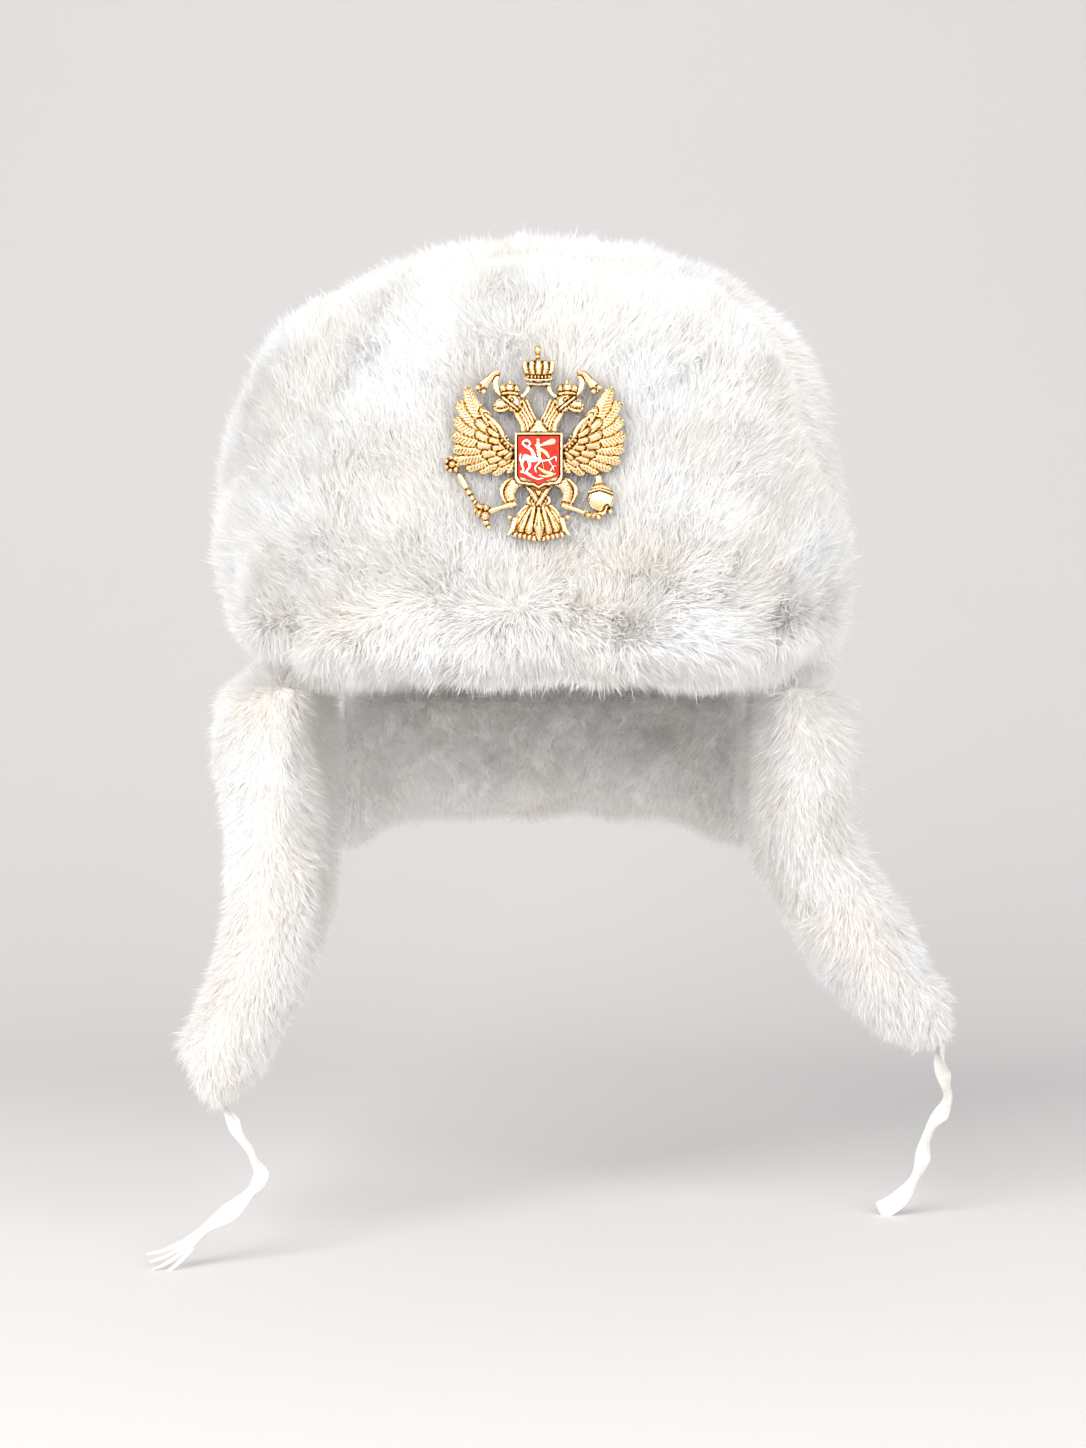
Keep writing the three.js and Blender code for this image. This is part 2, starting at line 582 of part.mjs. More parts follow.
// One side of the badge, drawn for the left and mirrored for the right
function badgeSide(side) {
  const flip = ([x, y]) => [side * x, y];
  const turnOver = (angle) => (side < 0 ? angle : 180 - angle);
  const wing = ({ from, to, middle }) => ({ from: turnOver(from), to: turnOver(to), middle: flip(middle) });
  return [
    ...fan({ ...LONG_FEATHERS, ...wing(LONG_FEATHERS) }),
    ...fan({ ...SHORT_FEATHERS, ...wing(SHORT_FEATHERS) }),
    leaf(flip([6, 4]), flip([17, 15]), 6, 2.7),
    bar(flip([5.5, 3]), flip([12, -4]), 5, 2.4),
    // neck, head and beak
    leaf(flip([2.6, 3]), flip([7.6, 12.4]), 5.2, 3),
    bead(flip([9, 13.6]), 3.1, 3.4),
    leaf(flip([10, 13.6]), flip([16, 12.2]), 2.8, 2.6),
    // small crown
    bead(flip([9.4, 18]), 2.5, 2.6, 6),
    bead(flip([9.4, 21]), 1.3, 2.2, 5),
    // ribbon, from the large crown past the small one to its loose end
    bar(flip([3.6, 20.4]), flip([9.6, 21.4]), 1.6, 1.9),
    bar(flip([10.6, 18.4]), flip([15.4, 18.6]), 2, 2),
    bar(flip([14.6, 17.8]), flip([18.4, 24.6]), 2.2, 2.2),
    leaf(flip([16.4, 24.6]), flip([21, 23.4]), 2.4, 2.2),
    // leg and claw
    leaf(flip([6.6, -10.6]), flip([13.2, -19.6]), 5, 2.8),
    bar(flip([11.6, -17.2]), flip([18.4, -24]), 2.4, 2.4),
    bead(flip([18.4, -24]), 2.5, 2.8, 6),
  ];
}

function eagleGeometry() {
  const parts = [
    ...badgeSide(-1),
    ...badgeSide(1),
    // large crown with its band and the knob above it
    bar([-4.8, 21.3], [4.8, 21.3], 2.4, 2.6),
    bead([-3.3, 25], 2.9, 3),
    bead([3.3, 25], 2.9, 3),
    bead([0, 25.6], 3.2, 3.4),
    bead([0, 29.4], 1.4, 2.4, 6),
    bar([0, 29], [0, 34], 1.2, 1.8),
    bar([-1.8, 32.2], [1.8, 32.2], 1.2, 1.8),
    // sceptre on the left, orb on the right
    bar([-28.6, -8], [-16.6, -28.8], 2, 2.2),
    bead([-29.4, -6.6], 3.1, 3),
    bead([21.4, -18.8], 5, 4, 10),
    bar([20.6, -14.6], [20.6, -10], 1.6, 2.2),
    bar([19, -11.8], [22.2, -11.8], 1.4, 2),
    // body, and the tail with its curled side tips
    bar([0, 7], [0, -16], 17, 1.4),
    ...fan(TAIL_FEATHERS),
    bead([-9.6, -28.6], 2, 2.6, 6),
    bead([9.8, -28.6], 2, 2.6, 6),
  ];
  let solid = parts[0];
  for (const part of parts.slice(1)) solid = solid.add(part);
  const frameTop = SHIELD_FLOOR + ENAMEL_THICK + SHIELD_LIP;
  const frame = shieldSolid(SHIELD_HALF_WIDTH + SHIELD_BORDER, 0, frameTop);
  const pocket = shieldSolid(SHIELD_HALF_WIDTH, SHIELD_FLOOR, 2 * frameTop);
  return toGeometry(solid.add(frame).subtract(pocket));
}

// Shield: straight sides, square shoulders and a pointed foot, all from its half width
function shieldOutline(half) {
  const grow = half - SHIELD_HALF_WIDTH;
  const shape = new THREE.Shape();
  const top = SHIELD_MIDDLE_Y + 1.15 * SHIELD_HALF_WIDTH + grow;
  const shoulder = SHIELD_MIDDLE_Y - 0.8 * SHIELD_HALF_WIDTH;
  const foot = SHIELD_MIDDLE_Y - 1.1 * SHIELD_HALF_WIDTH - grow;
  shape.moveTo(-half, top);
  shape.lineTo(-half, shoulder);
  shape.lineTo(-0.8 * half, foot + 0.25 * half - grow * 0.25);
  shape.lineTo(-0.2 * half, foot);
  shape.lineTo(0, foot - 0.14 * half);
  shape.lineTo(0.2 * half, foot);
  shape.lineTo(0.8 * half, foot + 0.25 * half - grow * 0.25);
  shape.lineTo(half, shoulder);
  shape.lineTo(half, top);
  return shape;
}

function shieldGeometry(half, low, high) {
  const geometry = new THREE.ExtrudeGeometry(shieldOutline(half), { depth: high - low, bevelEnabled: false });
  geometry.translate(0, 0, low);
  return geometry;
}

function shieldSolid(half, low, high) {
  return toSolid(shieldGeometry(half, low, high));
}

function enamelGeometry() {
  const low = SHIELD_FLOOR + ENAMEL_GAP;
  return shieldGeometry(SHIELD_HALF_WIDTH - ENAMEL_GAP, low, low + ENAMEL_THICK);
}

// Small forms that stand on the enamel: joined, then raised to its face
function chargeGeometry(parts) {
  let solid = parts[0];
  for (const part of parts.slice(1)) solid = solid.add(part);
  const geometry = toGeometry(solid);
  geometry.scale(1, 1, CHARGE_HEIGHT / 2);
  geometry.translate(0, 0, SHIELD_FLOOR + ENAMEL_THICK + 2 * ENAMEL_GAP);
  return geometry;
}

// The white horse and its rider's cloak, on the left of the shield
function horseGeometry() {
  return chargeGeometry([
    bead([-3.9, -0.4], 1.9, 2, 8),
    bar([-3.8, -1.4], [-3.3, -4.6], 1.4, 2),
    leaf([-1.7, -3], [-5.9, -7.2], 3, 2.2),
    leaf([-5.6, -6.4], [-5.3, -9.8], 1.5, 2),
    bar([-5.5, -9.4], [-1.7, -10.8], 1.1, 2),
  ]);
}

// The gilt rider with the creature underfoot, on the right
function riderGeometry() {
  return chargeGeometry([
    leaf([-0.4, 0.6], [0.5, -5.8], 1.7, 2.2),
    bead([-0.4, 1], 0.9, 2.4, 6),
    leaf([0.4, -1.3], [5.4, 0.1], 2.8, 2),
    leaf([0.4, -2.6], [6.2, -4.6], 1.8, 2.2),
    leaf([3, -3.8], [5.8, -8], 1.1, 2),
    leaf([0.3, -5], [1.4, -10.4], 2.2, 2),
    leaf([1, -9.6], [5.6, -8.4], 2.6, 2.2),
  ]);
}

function onBadge(mesh) {
  mesh.rotation.x = Math.PI / 2;
  mesh.position.set(BADGE_SHIFT, BADGE_BACK_Y, BADGE_Z);
  return mesh;
}

function postGeometry() {
  return new THREE.CylinderGeometry(POST_RADIUS, POST_RADIUS, POST_LENGTH, POST_SIDES);
}

// The front flap with the hole that the badge's post goes into
function flapWithHole() {
  const radius = POST_RADIUS + POST_CLEARANCE;
  const hole = new THREE.CylinderGeometry(radius, radius, 2 * (POST_LENGTH + POST_CLEARANCE), POST_SIDES);
  hole.translate(BADGE_SHIFT, BADGE_BACK_Y, BADGE_Z);
  return toGeometry(toSolid(frontFlap()).subtract(toSolid(hole)));
}

const FUR = { color: 0xf1f0ee, roughness: 0.95, metalness: 0 };
const TAPE = { color: 0xf3f1ee, roughness: 0.85, metalness: 0 };
const GOLD = { color: 0xd9ab55, roughness: 0.28, metalness: 1 };
const RED = { color: 0xc8321f, roughness: 0.2, metalness: 0 };
const WHITE = { color: 0xf0eeea, roughness: 0.25, metalness: 0 };

function piece(name, geometry, finish) {
  const mesh = new THREE.Mesh(geometry, new THREE.MeshStandardMaterial(finish));
  mesh.name = name;
  return mesh;
}

const hat = new THREE.Group();
hat.name = 'ushanka';
hat.add(piece('crown', crown(), FUR));
hat.add(piece('front_flap', flapWithHole(), FUR));
hat.add(piece('ear_flap_left', earFlap(LEFT_EAR, -1), FUR));
hat.add(piece('ear_flap_right', earFlap(RIGHT_EAR, 1), FUR));
hat.add(piece('neck_flap', neckFlap(), FUR));
hat.add(piece('tie_left', tie(LEFT_TIE), TAPE));
hat.add(piece('tie_right', tie(RIGHT_TIE), TAPE));
hat.add(onBadge(piece('badge_eagle', eagleGeometry(), GOLD)));
hat.add(onBadge(piece('badge_enamel', enamelGeometry(), RED)));
hat.add(onBadge(piece('badge_horse', horseGeometry(), WHITE)));
hat.add(onBadge(piece('badge_rider', riderGeometry(), GOLD)));
const post = piece('badge_post', postGeometry(), GOLD);
post.position.set(BADGE_SHIFT, BADGE_BACK_Y + BADGE_SEAT_GAP / 2 + POST_LENGTH / 2, BADGE_Z);
hat.add(post);

export default hat;
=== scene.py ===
import math

import bpy
import numpy as np
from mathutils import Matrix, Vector
from mathutils.bvhtree import BVHTree
from mathutils.geometry import delaunay_2d_cdt
from mathutils.kdtree import KDTree


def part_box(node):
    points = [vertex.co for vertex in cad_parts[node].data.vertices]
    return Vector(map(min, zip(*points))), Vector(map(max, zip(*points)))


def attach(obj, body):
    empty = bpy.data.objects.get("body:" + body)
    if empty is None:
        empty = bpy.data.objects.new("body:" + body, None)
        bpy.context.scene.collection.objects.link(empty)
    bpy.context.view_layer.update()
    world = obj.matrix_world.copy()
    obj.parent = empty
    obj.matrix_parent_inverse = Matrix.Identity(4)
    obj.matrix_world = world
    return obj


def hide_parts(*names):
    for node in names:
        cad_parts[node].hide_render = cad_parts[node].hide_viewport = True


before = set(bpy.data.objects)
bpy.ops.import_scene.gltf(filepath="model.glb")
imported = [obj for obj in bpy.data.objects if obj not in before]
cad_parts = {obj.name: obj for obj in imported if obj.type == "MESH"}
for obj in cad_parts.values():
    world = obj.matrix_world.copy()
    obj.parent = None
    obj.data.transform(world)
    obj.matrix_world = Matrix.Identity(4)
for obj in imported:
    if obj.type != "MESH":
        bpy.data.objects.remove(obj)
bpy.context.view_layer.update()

MM = 0.001
UP = np.array([0.0, 0.0, 1.0])

# Camera, in metres: level, in front of the hat, with the picture's middle at EYE_Z
EYE_DISTANCE = 1.0
EYE_Z = -0.158
LENS_MM = 62.9
SENSOR_MM = 36.0
CLIP_END = 20.0
TABLE_Z = -0.363  # height of the floor, just under the ties' ends

# Middle of the head hollow, which inner sides face
HOLLOW = np.array([0.0, 0.0, -0.085])


def make_camera():
    data = bpy.data.cameras.new("camera")
    data.lens = LENS_MM
    data.sensor_width = SENSOR_MM
    data.clip_end = CLIP_END
    camera = bpy.data.objects.new("camera", data)
    camera.location = (0, -EYE_DISTANCE, EYE_Z)
    camera.rotation_euler = (math.radians(90), 0, 0)
    bpy.context.scene.collection.objects.link(camera)
    bpy.context.scene.camera = camera


def add_mesh(name, points, faces, material):
    """A smooth-shaded piece from its corner points and faces, linked to the scene."""
    mesh = bpy.data.meshes.new(name)
    mesh.from_pydata([tuple(p) for p in points], [], [tuple(f) for f in faces])
    mesh.materials.append(material)
    mesh.polygons.foreach_set("use_smooth", [True] * len(mesh.polygons))
    mesh.update()
    piece = bpy.data.objects.new(name, mesh)
    bpy.context.scene.collection.objects.link(piece)
    return piece


def unit(vectors):
    return vectors / np.maximum(np.linalg.norm(vectors, axis=-1, keepdims=True), 1e-9)


def swirl(points, size, seed, waves=7):
    """A smooth field of random directions that changes over about one size, in metres."""
    random = np.random.default_rng(seed)
    field = np.zeros_like(points)
    for _ in range(waves):
        heading = unit(random.normal(size=3))
        phase = random.uniform(0, 2 * math.pi)
        turn = points @ heading * (2 * math.pi / size) * random.uniform(0.6, 1.5)
        field += np.sin(turn + phase)[:, None] * random.normal(size=3)
    return field / math.sqrt(waves)


# Materials
class Nodes:
    """Short names for adding nodes to one material."""

    def __init__(self, name):
        self.material = bpy.data.materials.new(name)
        self.material.use_nodes = True
        self.tree = self.material.node_tree
        self.shader = self.tree.nodes["Principled BSDF"]

    def add(self, kind, **values):
        node = self.tree.nodes.new(kind)
        for key, value in values.items():
            if key in node.inputs:
                node.inputs[key].default_value = value
            else:
                setattr(node, key, value)
        return node

    def link(self, source, target):
        self.tree.links.new(source, target)

    def noise(self, scale, detail=3.0, roughness=0.5):
        place = self.add("ShaderNodeTexCoord")
        noise = self.add("ShaderNodeTexNoise", Scale=scale, Detail=detail, Roughness=roughness)
        self.link(place.outputs["Object"], noise.inputs["Vector"])
        return noise.outputs["Fac"]

    def ramp(self, source, *stops):
        ramp = self.add("ShaderNodeValToRGB")
        elements = ramp.color_ramp.elements
        while len(elements) < len(stops):
            elements.new(0.5)
        for element, (place, colour) in zip(elements, stops):
            element.position = place
            element.color = (*colour, 1)
        self.link(source, ramp.inputs["Fac"])
        return ramp.outputs["Color"]

    def bump(self, height, strength, distance):
        bump = self.add("ShaderNodeBump", Strength=strength, Distance=distance)
        self.link(height, bump.inputs["Height"])
        self.link(bump.outputs["Normal"], self.shader.inputs["Normal"])

    def see_through(self, colour, share):
        """Lets part of the light that falls on one side show on the other."""
        through = self.add("ShaderNodeBsdfTranslucent")
        self.link(colour, through.inputs["Color"])
        mix = self.add("ShaderNodeMixShader", Fac=share)
        self.link(self.shader.outputs["BSDF"], mix.inputs[1])
        self.link(through.outputs["BSDF"], mix.inputs[2])
        self.link(mix.outputs["Shader"], self.tree.nodes["Material Output"].inputs["Surface"])

    def set(self, **values):
        for key, value in values.items():
            self.shader.inputs[key.replace("_", " ")].default_value = value
        return self.material


def fur_material():
    """White pile: faintly cooler and warmer in patches, and a little darker at the roots, which is painted shade deep
    in the pile.
    """
    n = Nodes("white_fur")
    patch = n.ramp(n.noise(28, 2), (0.35, (0.95, 0.94, 0.92)), (0.65, (0.965, 0.97, 0.975)))
    # painted shade: each hair's colour is darker towards its root, where the pile shades itself
    along = n.add("ShaderNodeAttribute", attribute_name="along")
    root = n.ramp(along.outputs["Fac"], (0.0, (0.9, 0.88, 0.86)), (0.5, (1, 1, 1)))
    mixed = n.add("ShaderNodeMix", data_type="RGBA", blend_type="MULTIPLY")
    mixed.inputs["Factor"].default_value = 1.0
    n.link(patch, mixed.inputs["A"])
    n.link(root, mixed.inputs["B"])
    n.link(mixed.outputs["Result"], n.shader.inputs["Base Color"])
    n.see_through(mixed.outputs["Result"], 0.5)
    return n.set(Roughness=0.55, Specular_IOR_Level=0.25)


def underfur_material():
    """The dense woolly ground between the longer hairs."""
    n = Nodes("white_underfur")
    colour = n.ramp(n.noise(60, 4), (0.3, (0.93, 0.92, 0.9)), (0.7, (0.96, 0.955, 0.95)))
    n.link(colour, n.shader.inputs["Base Color"])
    n.bump(n.noise(900, 4, 0.7), 0.6, 0.0012)
    return n.set(Roughness=0.8, Sheen_Weight=0.3)


def lining_material():
    """Plain twill lining inside the crown."""
    n = Nodes("lining_twill")
    colour = n.ramp(n.noise(300, 3), (0.3, (0.70, 0.68, 0.64)), (0.7, (0.77, 0.75, 0.71)))
    n.link(colour, n.shader.inputs["Base Color"])
    place = n.add("ShaderNodeTexCoord")
    wave = n.add("ShaderNodeTexWave", Scale=420.0, Distortion=0.4, bands_direction="DIAGONAL")
    n.link(place.outputs["Object"], wave.inputs["Vector"])
    n.bump(wave.outputs["Fac"], 0.35, 0.0003)
    return n.set(Roughness=0.7, Sheen_Weight=0.2)


def tape_material():
    """Cotton tape with a fine weave."""
    n = Nodes("cotton_tape")
    colour = n.ramp(n.noise(700, 4), (0.3, (0.68, 0.65, 0.62)), (0.7, (0.77, 0.75, 0.72)))
    n.link(colour, n.shader.inputs["Base Color"])
    place = n.add("ShaderNodeTexCoord")
    wave = n.add("ShaderNodeTexWave", Scale=900.0, Distortion=1.2, bands_direction="DIAGONAL")
    n.link(place.outputs["Object"], wave.inputs["Vector"])
    n.bump(wave.outputs["Fac"], 0.4, 0.0002)
    return n.set(Roughness=0.75, Sheen_Weight=0.3)


def gilt_material():
    """Bright gilding with a fine cast grain, darkened with painted shade in the hollows of the relief."""
    n = Nodes("cast_gilt")
    grain = n.noise(1400, 4, 0.6)
    colour = n.ramp(n.noise(260, 3), (0.35, (0.86, 0.66, 0.37)), (0.65, (0.96, 0.81, 0.53)))
    # painted shade: the gilt's colour goes dark brown in the hollows of the relief and on its side walls
    hollow = n.add("ShaderNodeAttribute", attribute_name="hollow")
    shade = n.ramp(hollow.outputs["Fac"], (0.1, (1, 1, 1)), (0.5, (0.48, 0.31, 0.15)), (0.9, (0.12, 0.06, 0.03)))
    mixed = n.add("ShaderNodeMix", data_type="RGBA", blend_type="MULTIPLY")
    mixed.inputs["Factor"].default_value = 1.0
    n.link(colour, mixed.inputs["A"])
    n.link(shade, mixed.inputs["B"])
    n.link(mixed.outputs["Result"], n.shader.inputs["Base Color"])
    rough = n.ramp(grain, (0.3, (0.18, 0.18, 0.18)), (0.7, (0.32, 0.32, 0.32)))
    n.link(rough, n.shader.inputs["Roughness"])
    n.bump(grain, 0.15, 0.0002)
    return n.set(Metallic=1.0)


def enamel_material(name, dark, light):
    """Glossy enamel that pools a little unevenly in its cell."""
    n = Nodes(name)
    colour = n.ramp(n.noise(420, 2), (0.35, dark), (0.65, light))
    n.link(colour, n.shader.inputs["Base Color"])
    n.bump(n.noise(300, 2), 0.15, 0.0003)
    return n.set(Roughness=0.12, Coat_Weight=0.6, Coat_Roughness=0.05)


# Ties: the routes of the CAD tubes, in millimetres, from the ear flap to the free end
TIE_WIDTH = 8.5 * MM
TIE_THICK = 0.9 * MM
SEWN_IN = 6 * MM  # how far each tie goes on into its ear flap, before its route
TIE_SECTION = 12  # points round a tie
FRAYED_STEPS = 12  # steps of the path that a frayed end takes up
LEFT_TIE = [
    [-122.6, -18.0, -306.2], [-121.0, -19.4, -309.6], [-118.0, -22.6, -314.4], [-114.2, -26.0, -319.4],
    [-110.6, -29.6, -324.8], [-107.8, -32.4, -329.6], [-108.4, -34.6, -333.6], [-111.2, -36.6, -337.2],
    [-115.4, -38.8, -340.6], [-120.2, -41.0, -344.2], [-125.4, -43.2, -348.0], [-130.8, -45.4, -352.2],
    [-136.2, -47.2, -356.2], [-141.6, -48.8, -359.6], [-147.4, -50.4, -361.6],
]
RIGHT_TIE = [
    [163.4, 39.0, -292.9], [163.5, 39.2, -297.4], [165.2, 42.0, -302.8], [166.8, 43.4, -308.0],
    [167.6, 44.6, -313.2], [165.8, 45.6, -317.8], [162.4, 46.6, -322.4], [160.0, 47.6, -327.4],
    [158.6, 48.6, -332.8], [157.6, 49.8, -338.4], [156.4, 51.0, -344.0], [154.0, 52.4, -349.4],
    [150.0, 53.8, -354.4], [145.2, 55.0, -358.6], [140.2, 56.2, -361.4],
]
# How they turn about their own line, in degrees, and how much of their width is open, from start to end
LEFT_TURNS = [60, 25, 75, 20, 50, 15, 60, 30, 20]
LEFT_WIDTHS = [0.5, 0.85, 0.55, 0.9, 0.6, 0.9, 0.65, 0.85, 0.95]
RIGHT_TURNS = [70, 20, 80, 30, 75, 25, 65, 20, 10]
RIGHT_WIDTHS = [0.5, 0.8, 0.55, 0.85, 0.55, 0.85, 0.6, 0.9, 1]


def smooth_path(points, per_step=5):
    """Points of a smooth curve through the given ones."""
    points = np.asarray(points, float)
    ends = np.vstack([2 * points[0] - points[1], points, 2 * points[-1] - points[-2]])
    path = []
    for k in range(len(points) - 1):
        a, b, c, d = ends[k : k + 4]
        for t in np.arange(per_step) / per_step:
            bend, twist = 2 * a - 5 * b + 4 * c - d, 3 * b - a - 3 * c + d
            path.append(0.5 * (2 * b + (c - a) * t + bend * t**2 + twist * t**3))
    path.append(points[-1])
    return np.array(path)


def tape(path, facing, width, pinch, first):
    """Points and faces of a flat tape along a path, with its own points counted from first.

    facing gives its across direction. Where pinch, its share of the width, is small, it is folded lengthwise.
    """
    along = unit(np.gradient(path, axis=0))
    across = unit(facing - (facing * along).sum(1)[:, None] * along)
    out = np.cross(along, across)
    points = []
    for k in range(TIE_SECTION):
        turn = 2 * math.pi * (k + 0.5) / TIE_SECTION
        side = math.cos(turn)
        flat = TIE_THICK / 2 * np.sign(math.sin(turn)) * (0.4 + 0.6 * abs(math.sin(turn)))
        curl = 0.75 * width * (side**2 - 0.5) * (1 - pinch) + 0.04 * width * math.cos(7 * side)
        points.append(path + across * (side * width / 2 * pinch)[:, None] + out * (flat + curl)[:, None])
    points = np.stack(points, axis=1)
    faces = []
    rings = len(path)
    for ring in range(0, (rings - 1) * TIE_SECTION, TIE_SECTION):
        for k in range(TIE_SECTION):
            nxt = (k + 1) % TIE_SECTION
            faces.append([ring + k, ring + nxt, ring + TIE_SECTION + nxt, ring + TIE_SECTION + k])
    faces.append(list(range(TIE_SECTION))[::-1])
    faces.append([(rings - 1) * TIE_SECTION + k for k in range(TIE_SECTION)])
    return points.reshape(-1, 3), [[first + i for i in face] for face in faces]


def make_tie(name, node, route, turns, widths, frayed, material):
    """One tie. frayed is the number of loose strands that its free end parts into."""
    path = smooth_path(np.array(route) * MM)
    share = np.linspace(0, 1, len(path))
    turn = np.radians(np.interp(share, np.linspace(0, 1, len(turns)), turns))
    along = unit(np.gradient(path, axis=0))
    side = unit(np.cross(along, [0.0, 1.0, 0.0]))
    facing = side * np.cos(turn)[:, None] + np.cross(along, side) * np.sin(turn)[:, None]
    pinch = np.interp(share, np.linspace(0, 1, len(widths)), widths)
    whole = len(path) - (FRAYED_STEPS if frayed else 0)
    sewn = np.vstack([path[0] - SEWN_IN * along[0], path[:whole]])
    sewn_facing = np.vstack([facing[0], facing[:whole]])
    points, faces = tape(sewn, sewn_facing, TIE_WIDTH, np.append(pinch[0], pinch[:whole]), 0)
    for k in range(frayed):
        place = (k + 0.5) / frayed - 0.5
        part = slice(whole - 2, len(path))
        spread = np.linspace(0.75, 1.5 + 0.3 * math.sin(3 * k), len(path) - whole + 2)
        strand = path[part] + facing[part] * (place * TIE_WIDTH * spread)[:, None]
        taper = np.linspace(1, 0.45, len(strand))
        more, sides = tape(strand, facing[part], TIE_WIDTH / frayed, taper, len(points))
        points = np.vstack([points, more])
        faces += sides
    piece = add_mesh(name, points, faces, material)
    piece.modifiers.new("finer", "SUBSURF").render_levels = 1
    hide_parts(node)
    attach(piece, "root")


# Fur
def soft_copy(node, voxel):
    """Mesh of a smooth closed copy of a fur solid, without its locks."""
    piece = bpy.data.objects.new("copy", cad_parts[node].data.copy())
    bpy.context.scene.collection.objects.link(piece)
    remesh = piece.modifiers.new("remesh", "REMESH")
    remesh.mode = "VOXEL"
    remesh.voxel_size = voxel
    smooth = piece.modifiers.new("smooth", "SMOOTH")
    smooth.factor = 0.6
    smooth.iterations = SOFT_ROUNDS
    bpy.context.view_layer.update()
    mesh = bpy.data.meshes.new_from_object(piece.evaluated_get(bpy.context.evaluated_depsgraph_get()))
    bpy.data.objects.remove(piece)
    return mesh


def points_of(mesh):
    points = np.zeros(len(mesh.vertices) * 3)
    mesh.vertices.foreach_get("co", points)
    return points.reshape(-1, 3)


def normals_of(mesh):
    normals = np.zeros(len(mesh.vertices) * 3)
    mesh.vertices.foreach_get("normal", normals)
    return normals.reshape(-1, 3)


def relaxed(mesh, points, rounds):
    """The mesh's points drawn towards the mean of their neighbours, which takes out small folds."""
    ends = np.zeros(len(mesh.edges) * 2, np.int32)
    mesh.edges.foreach_get("vertices", ends)
    a, b = ends.reshape(-1, 2).T
    neighbours = np.bincount(ends, minlength=len(points))[:, None]
    for _ in range(rounds):
        total = np.zeros_like(points)
        np.add.at(total, a, points[b])
        np.add.at(total, b, points[a])
        points = (points + total / neighbours) / 2
    return points


def scatter(mesh, count, seed):
    """Places spread evenly by area over a mesh: points and smooth normals."""
    mesh.calc_loop_triangles()
    corners = np.zeros(len(mesh.loop_triangles) * 3, np.int32)
    mesh.loop_triangles.foreach_get("vertices", corners)
    corners = corners.reshape(-1, 3)
    points = points_of(mesh)
    normals = normals_of(mesh)
    a, b, c = (points[corners[:, k]] for k in range(3))
    area = np.linalg.norm(np.cross(b - a, c - a), axis=1)
    random = np.random.default_rng(seed)
    order = np.searchsorted(np.cumsum(area) / area.sum(), random.random(count))
    u, v = random.random((2, count))
    over = u + v > 1
    u[over], v[over] = 1 - u[over], 1 - v[over]
    pick = corners[np.minimum(order, len(corners) - 1)]
    weights = np.stack([1 - u - v, u, v], axis=1)[:, :, None]
    return (points[pick] * weights).sum(1), unit((normals[pick] * weights).sum(1))


def nearest(centres, points):
    """Index of the nearest centre to each point."""
    tree = KDTree(len(centres))
    for k, centre in enumerate(centres):
        tree.insert(centre, k)
    tree.balance()
    return np.array([tree.find(point)[1] for point in points])


def hair_lines(roots, normals, length, lean, comb, per_lock, ragged):
    """Tip of each hair: leaning the way comb gives, in swirls, and gathered into locks of per_lock hairs."""
    random = np.random.default_rng(HAIR_SEED)
    count = len(roots)
    flow = comb(roots) + 0.3 * swirl(roots, 0.060, HAIR_SEED + 1) + 0.3 * swirl(roots, 0.016, HAIR_SEED + 2)
    flow -= (flow * normals).sum(1)[:, None] * normals
    firm = np.clip(np.linalg.norm(flow, axis=1) / 0.7, 0, 1)  # where it is weak the hair stands up
    flow = unit(flow)
    steep = np.radians(firm * (lean + 4 * swirl(roots, 0.035, HAIR_SEED + 3)[:, 0]))[:, None]
    loose = random.normal(scale=ragged, size=(count, 3))
    way = unit(normals * np.cos(steep) + flow * np.sin(steep) + loose)
    tips = roots + way * (length * random.uniform(0.6, 1.15, count))[:, None]
    centres = random.choice(count, max(2, int(count / per_lock)), replace=False)
    lock = centres[nearest(roots[centres], roots)]
    tips += (tips[lock] - tips) * (GATHER * random.uniform(0.2, 1.0, count))[:, None]
    return tips


